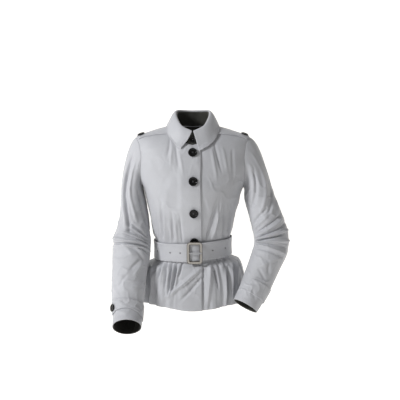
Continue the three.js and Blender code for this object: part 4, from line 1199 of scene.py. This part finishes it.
def build_buckle(name="belt_buckle"):
    b = BUCKLE
    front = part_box(name)[1].y / MM - b["thick"]
    bar, middle = b["bar"], (b["width"] - b["bar"], b["height"] - b["bar"])
    own(swept_frame("buckle_frame", *middle, b["middle_corner"], bar, b["thick"], front, COVERED),
        "buckle", name)
    # Dark edge strips round the frame, partly painted shadow in the gaps beside it.
    for edge in BUCKLE_EDGE_SHADES:
        reach, wide = edge["reach"], edge["wide"]
        own(swept_frame(f"buckle_edge_shade_{edge['name']}", middle[0] + 2 * reach, middle[1] + 2 * reach,
                        max(b["middle_corner"] + reach, 2), wide, wide, front - b["edge_ahead"],
                        DARK_EDGE_AND_SHADE), "buckle")
    # A short dark nick on the right bar where the prong's tip rests: painted shade.
    x, z = b["x"] + middle[0] / 2, WAIST_Z + WAIST_TILT * b["x"]
    path = np.array([(x - 3, front, z), (x, front, z), (x + 3, front, z)])
    stitches("buckle_nick_shade", [(path, np.tile((0, -1, 0), (3, 1)))], *NICK_SHADE, DARK_EDGE_AND_SHADE, "buckle")


# Buttons
BUTTON_PROFILE = [(0, 0), (0.8, 0), (0.93, 0.1), (1, 0.42), (0.985, 0.74), (0.93, 0.95), (0.86, 1),
                  (0.78, 0.93), (0.72, 0.74), (0.66, 0.6), (0.4, 0.52), (0, 0.5)]
BUTTON_HEIGHT = 0.32
HOLE_AT = 0.2
HOLE_R = 0.085


def button_mesh(radius):
    """A dished button with a raised rim and four drilled holes."""
    height = radius * BUTTON_HEIGHT
    bm = bmesh.new()
    line = [bm.verts.new((r * radius * MM, 0, h * height * MM)) for r, h in BUTTON_PROFILE]
    edges = [bm.edges.new(pair) for pair in zip(line, line[1:])]
    bmesh.ops.spin(bm, geom=line + edges, cent=(0, 0, 0), axis=(0, 0, 1), angle=math.tau,
                   steps=40, use_merge=True)
    bmesh.ops.remove_doubles(bm, verts=bm.verts, dist=1e-7)
    bmesh.ops.recalc_face_normals(bm, faces=bm.faces)
    body = placed("blank", mesh_from(bm, "blank"))
    bm = bmesh.new()
    for quarter in range(4):
        a = math.radians(45 + 90 * quarter)
        spot = Vector((math.cos(a), math.sin(a), 0)) * radius * HOLE_AT * MM
        bmesh.ops.create_cone(bm, cap_ends=True, segments=14, radius1=radius * HOLE_R * MM,
                              radius2=radius * HOLE_R * MM, depth=height * 3 * MM,
                              matrix=Matrix.Translation(spot))
    drill = placed("drill", mesh_from(bm, "drill"))
    cut = body.modifiers.new("holes", "BOOLEAN")
    cut.object = drill
    cut.solver = "EXACT"
    done = bpy.data.meshes.new_from_object(body.evaluated_get(
        bpy.context.evaluated_depsgraph_get()))
    bpy.data.objects.remove(drill)
    bpy.data.objects.remove(body)
    return done


def build_button(name, radius, spot, gap):
    """Places a button on the cloth with its threads through the holes."""
    up = Vector(spot[1]).normalized()
    turn = up.to_track_quat("Z", "Y").to_matrix().to_4x4()
    place = Matrix.Translation((Vector(spot[0]) + up * gap) * MM) @ turn
    mesh = blanks[radius].copy()
    mesh.transform(place)
    mesh.shade_smooth()
    mesh.materials.clear()
    piece = placed(f"{name}_dished", mesh, BUTTON_BLACK)
    sharp = piece.modifiers.new("edges", "BEVEL")
    sharp.width = 0.12 * MM
    sharp.segments = 2
    sharp.limit_method = "ANGLE"
    own(piece, "button", name)
    height, reach = radius * BUTTON_HEIGHT / 2, radius * HOLE_AT
    runs = []
    for angle in (45, 135):
        a = math.radians(angle)
        ends = [Vector((s * math.cos(a) * reach, s * math.sin(a) * reach, height)) for s in (-1, 1)]
        path = np.array([place @ (end * MM) for end in ends]) / MM
        runs.append((np.linspace(path[0], path[1], 5), np.tile(np.array(up), (5, 1))))
    stitches(f"{name}_thread", runs, 2 * reach + 0.6, 2 * reach, 0.42, DARK_THREAD_AND_SLIT_SHADE, "button")


for name, side in SIDES.items():
    bodice_front(f"bodice_front_{name}", side)
bodice_back("bodice_back")
side_gap = lambda level: np.degrees(SEAM / 2 / half_width(level))
peplum("peplum_front_right", lambda z: -90 + side_gap(z), lap_turn, 206, over_lap)
peplum("peplum_front_left", lambda z: -lap_turn(z), lambda z: 90 - side_gap(z), 206)
peplum("peplum_back", lambda z: 90 + side_gap(z), lambda z: 270 - side_gap(z), 330)
strap_spots = {name: build_strap(name, build_sleeve(name)) for name in SIDES}
build_collar_fall()
build_stand()
board_spots = {name: build_epaulette(f"epaulette_{name}", side) for name, side in SIDES.items()}
build_belt()
build_buckle()

blanks = {radius: button_mesh(radius) for radius in (BUTTON_R, SMALL_BUTTON_R, NECK_BUTTON_R)}
for number, button in enumerate(BUTTONS, 1):
    height = np.array([float(button["z"])])
    turn = np.degrees(np.arctan2(button["x"], front_depth(height)))
    spot, gap = over_lap(turn, height)[0], ON_BUTTONHOLE
    normal = torso_normal(turn, height, over_lap)[0]
    if number == len(BUTTONS):
        normal, gap = UNDER_BELT["faces"], UNDER_BELT["gap"]
    build_button(f"front_button_{number}", BUTTON_R, (spot, normal), gap)
low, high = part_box("neck_button")
neck_point = (np.array(low) + np.array(high)) / 2 / MM
build_button("neck_button", NECK_BUTTON_R, (neck_point, NECK_BUTTON["faces"]), NECK_BUTTON["gap"])
for name in SIDES:
    build_button(f"epaulette_button_{name}", SMALL_BUTTON_R, board_spots[name],
                 ON_CLOTH + DOUBLE_CLOTH + 0.4)
    build_button(f"cuff_button_{name}", SMALL_BUTTON_R, strap_spots[name],
                 STRAP_ON_SLEEVE + DOUBLE_CLOTH + 0.6)
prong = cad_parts["buckle_prong"].data.materials
prong.clear()
prong.append(PRONG)

# Topstitching: the edge of a piece, the inset from it, and where the run starts and ends
ARMHOLE_RUNS = {"left": ("left", 3.5, 0.5, 0.98), "right": ("right", 3.5, 0.5, 0.98)}
TOP, BOTTOM = ("top", 4), ("bottom", 4)
TOPSTITCHED = {
    "bodice_front_right": (("left", 6, 0, 0.5), ARMHOLE_RUNS["right"]),
    "bodice_front_left": (ARMHOLE_RUNS["right"],),
    "bodice_back": (ARMHOLE_RUNS["left"], ARMHOLE_RUNS["right"]),
    "peplum_front_right": (("top", 12), ("right", 6)),
    "peplum_front_left": (("top", 12),),
    "peplum_back": (("top", 12),),
    "collar_fall": (("top", 6), ("left", 6, 0.2, 0.93), ("right", 6, 0.2, 0.93)),
    "belt": (("top", 5), ("bottom", 5)),
}
for name in SIDES:
    TOPSTITCHED[f"sleeve_{name}"] = (("top", 12),)
    TOPSTITCHED[f"cuff_strap_{name}"] = (TOP, BOTTOM, ("left", 4))
    TOPSTITCHED[f"epaulette_{name}"] = (TOP, BOTTOM, ("right", 5))
added = {}
for name, edges in TOPSTITCHED.items():
    runs = [edge_run(*PANELS[name], *edge) for edge in edges]
    added[name] = [stitches(f"{name}_topstitch", runs)]

# Buttonholes under the front buttons, and eyelets along the belt, with painted shade in the
# buttonhole slits and the eyelet holes
holes, slit_shades = [], []
for button in BUTTONS[:3]:
    z = np.linspace(button["z"] - BUTTONHOLE / 2, button["z"] + BUTTONHOLE / 2, 30)
    for aside in (-0.8, 0.8):
        turn = np.degrees(np.arctan2(button["x"] + aside, front_depth(z)))
        holes.append((over_lap(turn, z), torso_normal(turn, z, over_lap)))
    # A dark dashed line down each buttonhole: painted shade in the cut slit.
    slit_shades.append((mix(holes[-2][0], holes[-1][0], 0.5), holes[-2][1]))
added["bodice_front_right"][:0] = [
    stitches("buttonholes", holes, *BUTTONHOLE_STITCH),
    stitches("buttonhole_slit_shade", slit_shades, *SLIT_SHADE, DARK_THREAD_AND_SLIT_SHADE),
]

rings, hole_shades = [], []
angles = np.linspace(0, math.tau, 19)[:, None]
for turn in EYELET_TURNS:
    spot, up = np.array([turn - 360.0]), np.array([0.5])
    centre = belt_surface(spot, up)[0]
    aside = unit(belt_surface(spot + 1, up)[0] - belt_surface(spot - 1, up)[0])
    normal = unit(np.cross(aside, (0, 0, 1)))
    normal = normal * np.sign(np.dot(normal, centre * (1, 1, 0)))
    ring = centre + EYELET_R * (aside * np.cos(angles) + np.array((0, 0, 1)) * np.sin(angles))
    rings.append((ring, np.tile(normal, (len(ring), 1))))
    # A dark blob in each eyelet: painted shade in the hole.
    hole_shades.append((np.array([centre - aside, centre, centre + aside]), np.tile(normal, (3, 1))))
added["belt"][:0] = [
    stitches("eyelets", rings, *EYELET_STITCH, DARK_THREAD_AND_SLIT_SHADE),
    stitches("eyelet_hole_shade", hole_shades, *EYELET_HOLE_SHADE, DARK_EDGE_AND_SHADE),
]

# The cut of each cloth piece, and what it hangs from; {} stands for right and then left
CUTS = table(
    "name width length area held on",
    ("bodice_front_{}", 0.276, 0.508, 0.086, "hung", ()),
    ("bodice_back", 0.456, 0.484, 0.147, "hung", ()),
    ("peplum_front_{}", 0.42, 0.19, 0.07, "gathered", ("bodice_front_{}",)),
    ("peplum_back", 0.66, 0.19, 0.11, "gathered", ("bodice_back",)),
    ("sleeve_right", 0.44, 0.65, 0.19, "hung", ("bodice_front_right", "bodice_back")),
    ("sleeve_left", 0.44, 0.62, 0.175, "hung", ("bodice_front_left", "bodice_back")),
    ("cuff_strap_right", 0.176, 0.046, 0.0069, "stretched", ("sleeve_right",)),
    ("cuff_strap_left", 0.158, 0.046, 0.0068, "stretched", ("sleeve_left",)),
    ("collar_fall", 0.5, 0.078, 0.031, "folded", ("collar_stand",)),
    ("collar_stand", 0.475, 0.045, 0.0182, "stretched", ("bodice_back",)),
    ("epaulette_{}", 0.12, 0.052, 0.0056, "laid", ("bodice_front_{}", "bodice_back")),
    ("belt", 0.925, 0.056, None, "stretched", ("bodice_front_right", "bodice_back")),
)
for cut in CUTS:
    for side in SIDES if "{}" in cut["name"] else ("",):
        name = cut["name"].format(side)
        [other.format(side) for other in cut["on"]]

# Camera at the photo's angle
CAMERA = {"aim": Vector((22.75, 0, -227)) * MM, "distance": 2.0, "pitch": math.radians(8),
          "sensor": 36, "lens": 55.35}
camera = placed("camera", bpy.data.cameras.new("camera"))
camera.data.sensor_width = CAMERA["sensor"]
camera.data.lens = CAMERA["lens"]
back_off = Vector((0, -math.cos(CAMERA["pitch"]), math.sin(CAMERA["pitch"])))
camera.location = CAMERA["aim"] + back_off * CAMERA["distance"]
camera.rotation_euler = (math.pi / 2 - CAMERA["pitch"], 0, 0)
bpy.context.scene.camera = camera


# Pale floor and soft studio light
def area_light(name, location, aim, size, power, colour):
    data = bpy.data.lights.new(name, "AREA")
    data.energy = power
    data.size = size
    data.color = colour
    light = placed(name, data)
    light.location = location
    light.rotation_euler = (Vector(aim) - Vector(location)).to_track_quat("-Z", "Y").to_euler()


FLOOR_Z = -1.32
SWEEP = {"near": -12.0, "bend": 2.2, "radius": 1.8, "top": 10.0, "half": 14.0, "steps": 24}
profile = [(SWEEP["near"], FLOOR_Z)]
for step in range(SWEEP["steps"] + 1):
    angle = math.pi / 2 * step / SWEEP["steps"]
    profile.append((SWEEP["bend"] + SWEEP["radius"] * math.sin(angle),
                    FLOOR_Z + SWEEP["radius"] * (1 - math.cos(angle))))
profile.append((SWEEP["bend"] + SWEEP["radius"], SWEEP["top"]))
corners = [[(x, *place) for x in (-SWEEP["half"], SWEEP["half"])] for place in profile]
floor_mesh = grid_mesh("floor", np.array(corners) / MM)[0]
floor_mesh.shade_smooth()
pale = plain_material("pale sweep", (0.93, 0.92, 0.9), (0.92, 0.91, 0.89), 0.85, 2, 0.0,
                      **{"Emission Color": (1, 0.99, 0.96, 1), "Emission Strength": 0.56})
placed("floor", floor_mesh, pale)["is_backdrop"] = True

world = bpy.context.scene.world or bpy.data.worlds.new("world")
bpy.context.scene.world = world
world.use_nodes = True
feed(world.node_tree, world.node_tree.nodes["Background"],
     {"Color": (1, 0.99, 0.97, 1), "Strength": 0.25})
area_light("key", (-2.1, -1.3, 1.1), (0, 0, -0.3), 0.5, 74, (1, 1, 1))
area_light("side", (2.0, -0.8, 0.1), (0, 0, -0.3), 1.0, 1.5, (1, 0.93, 0.84))
bpy.context.scene.view_settings.view_transform = "Standard"
sizes = {"cad": [list(corner) for corner in CAD_BOX], "visual": [list(c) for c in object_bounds()]}
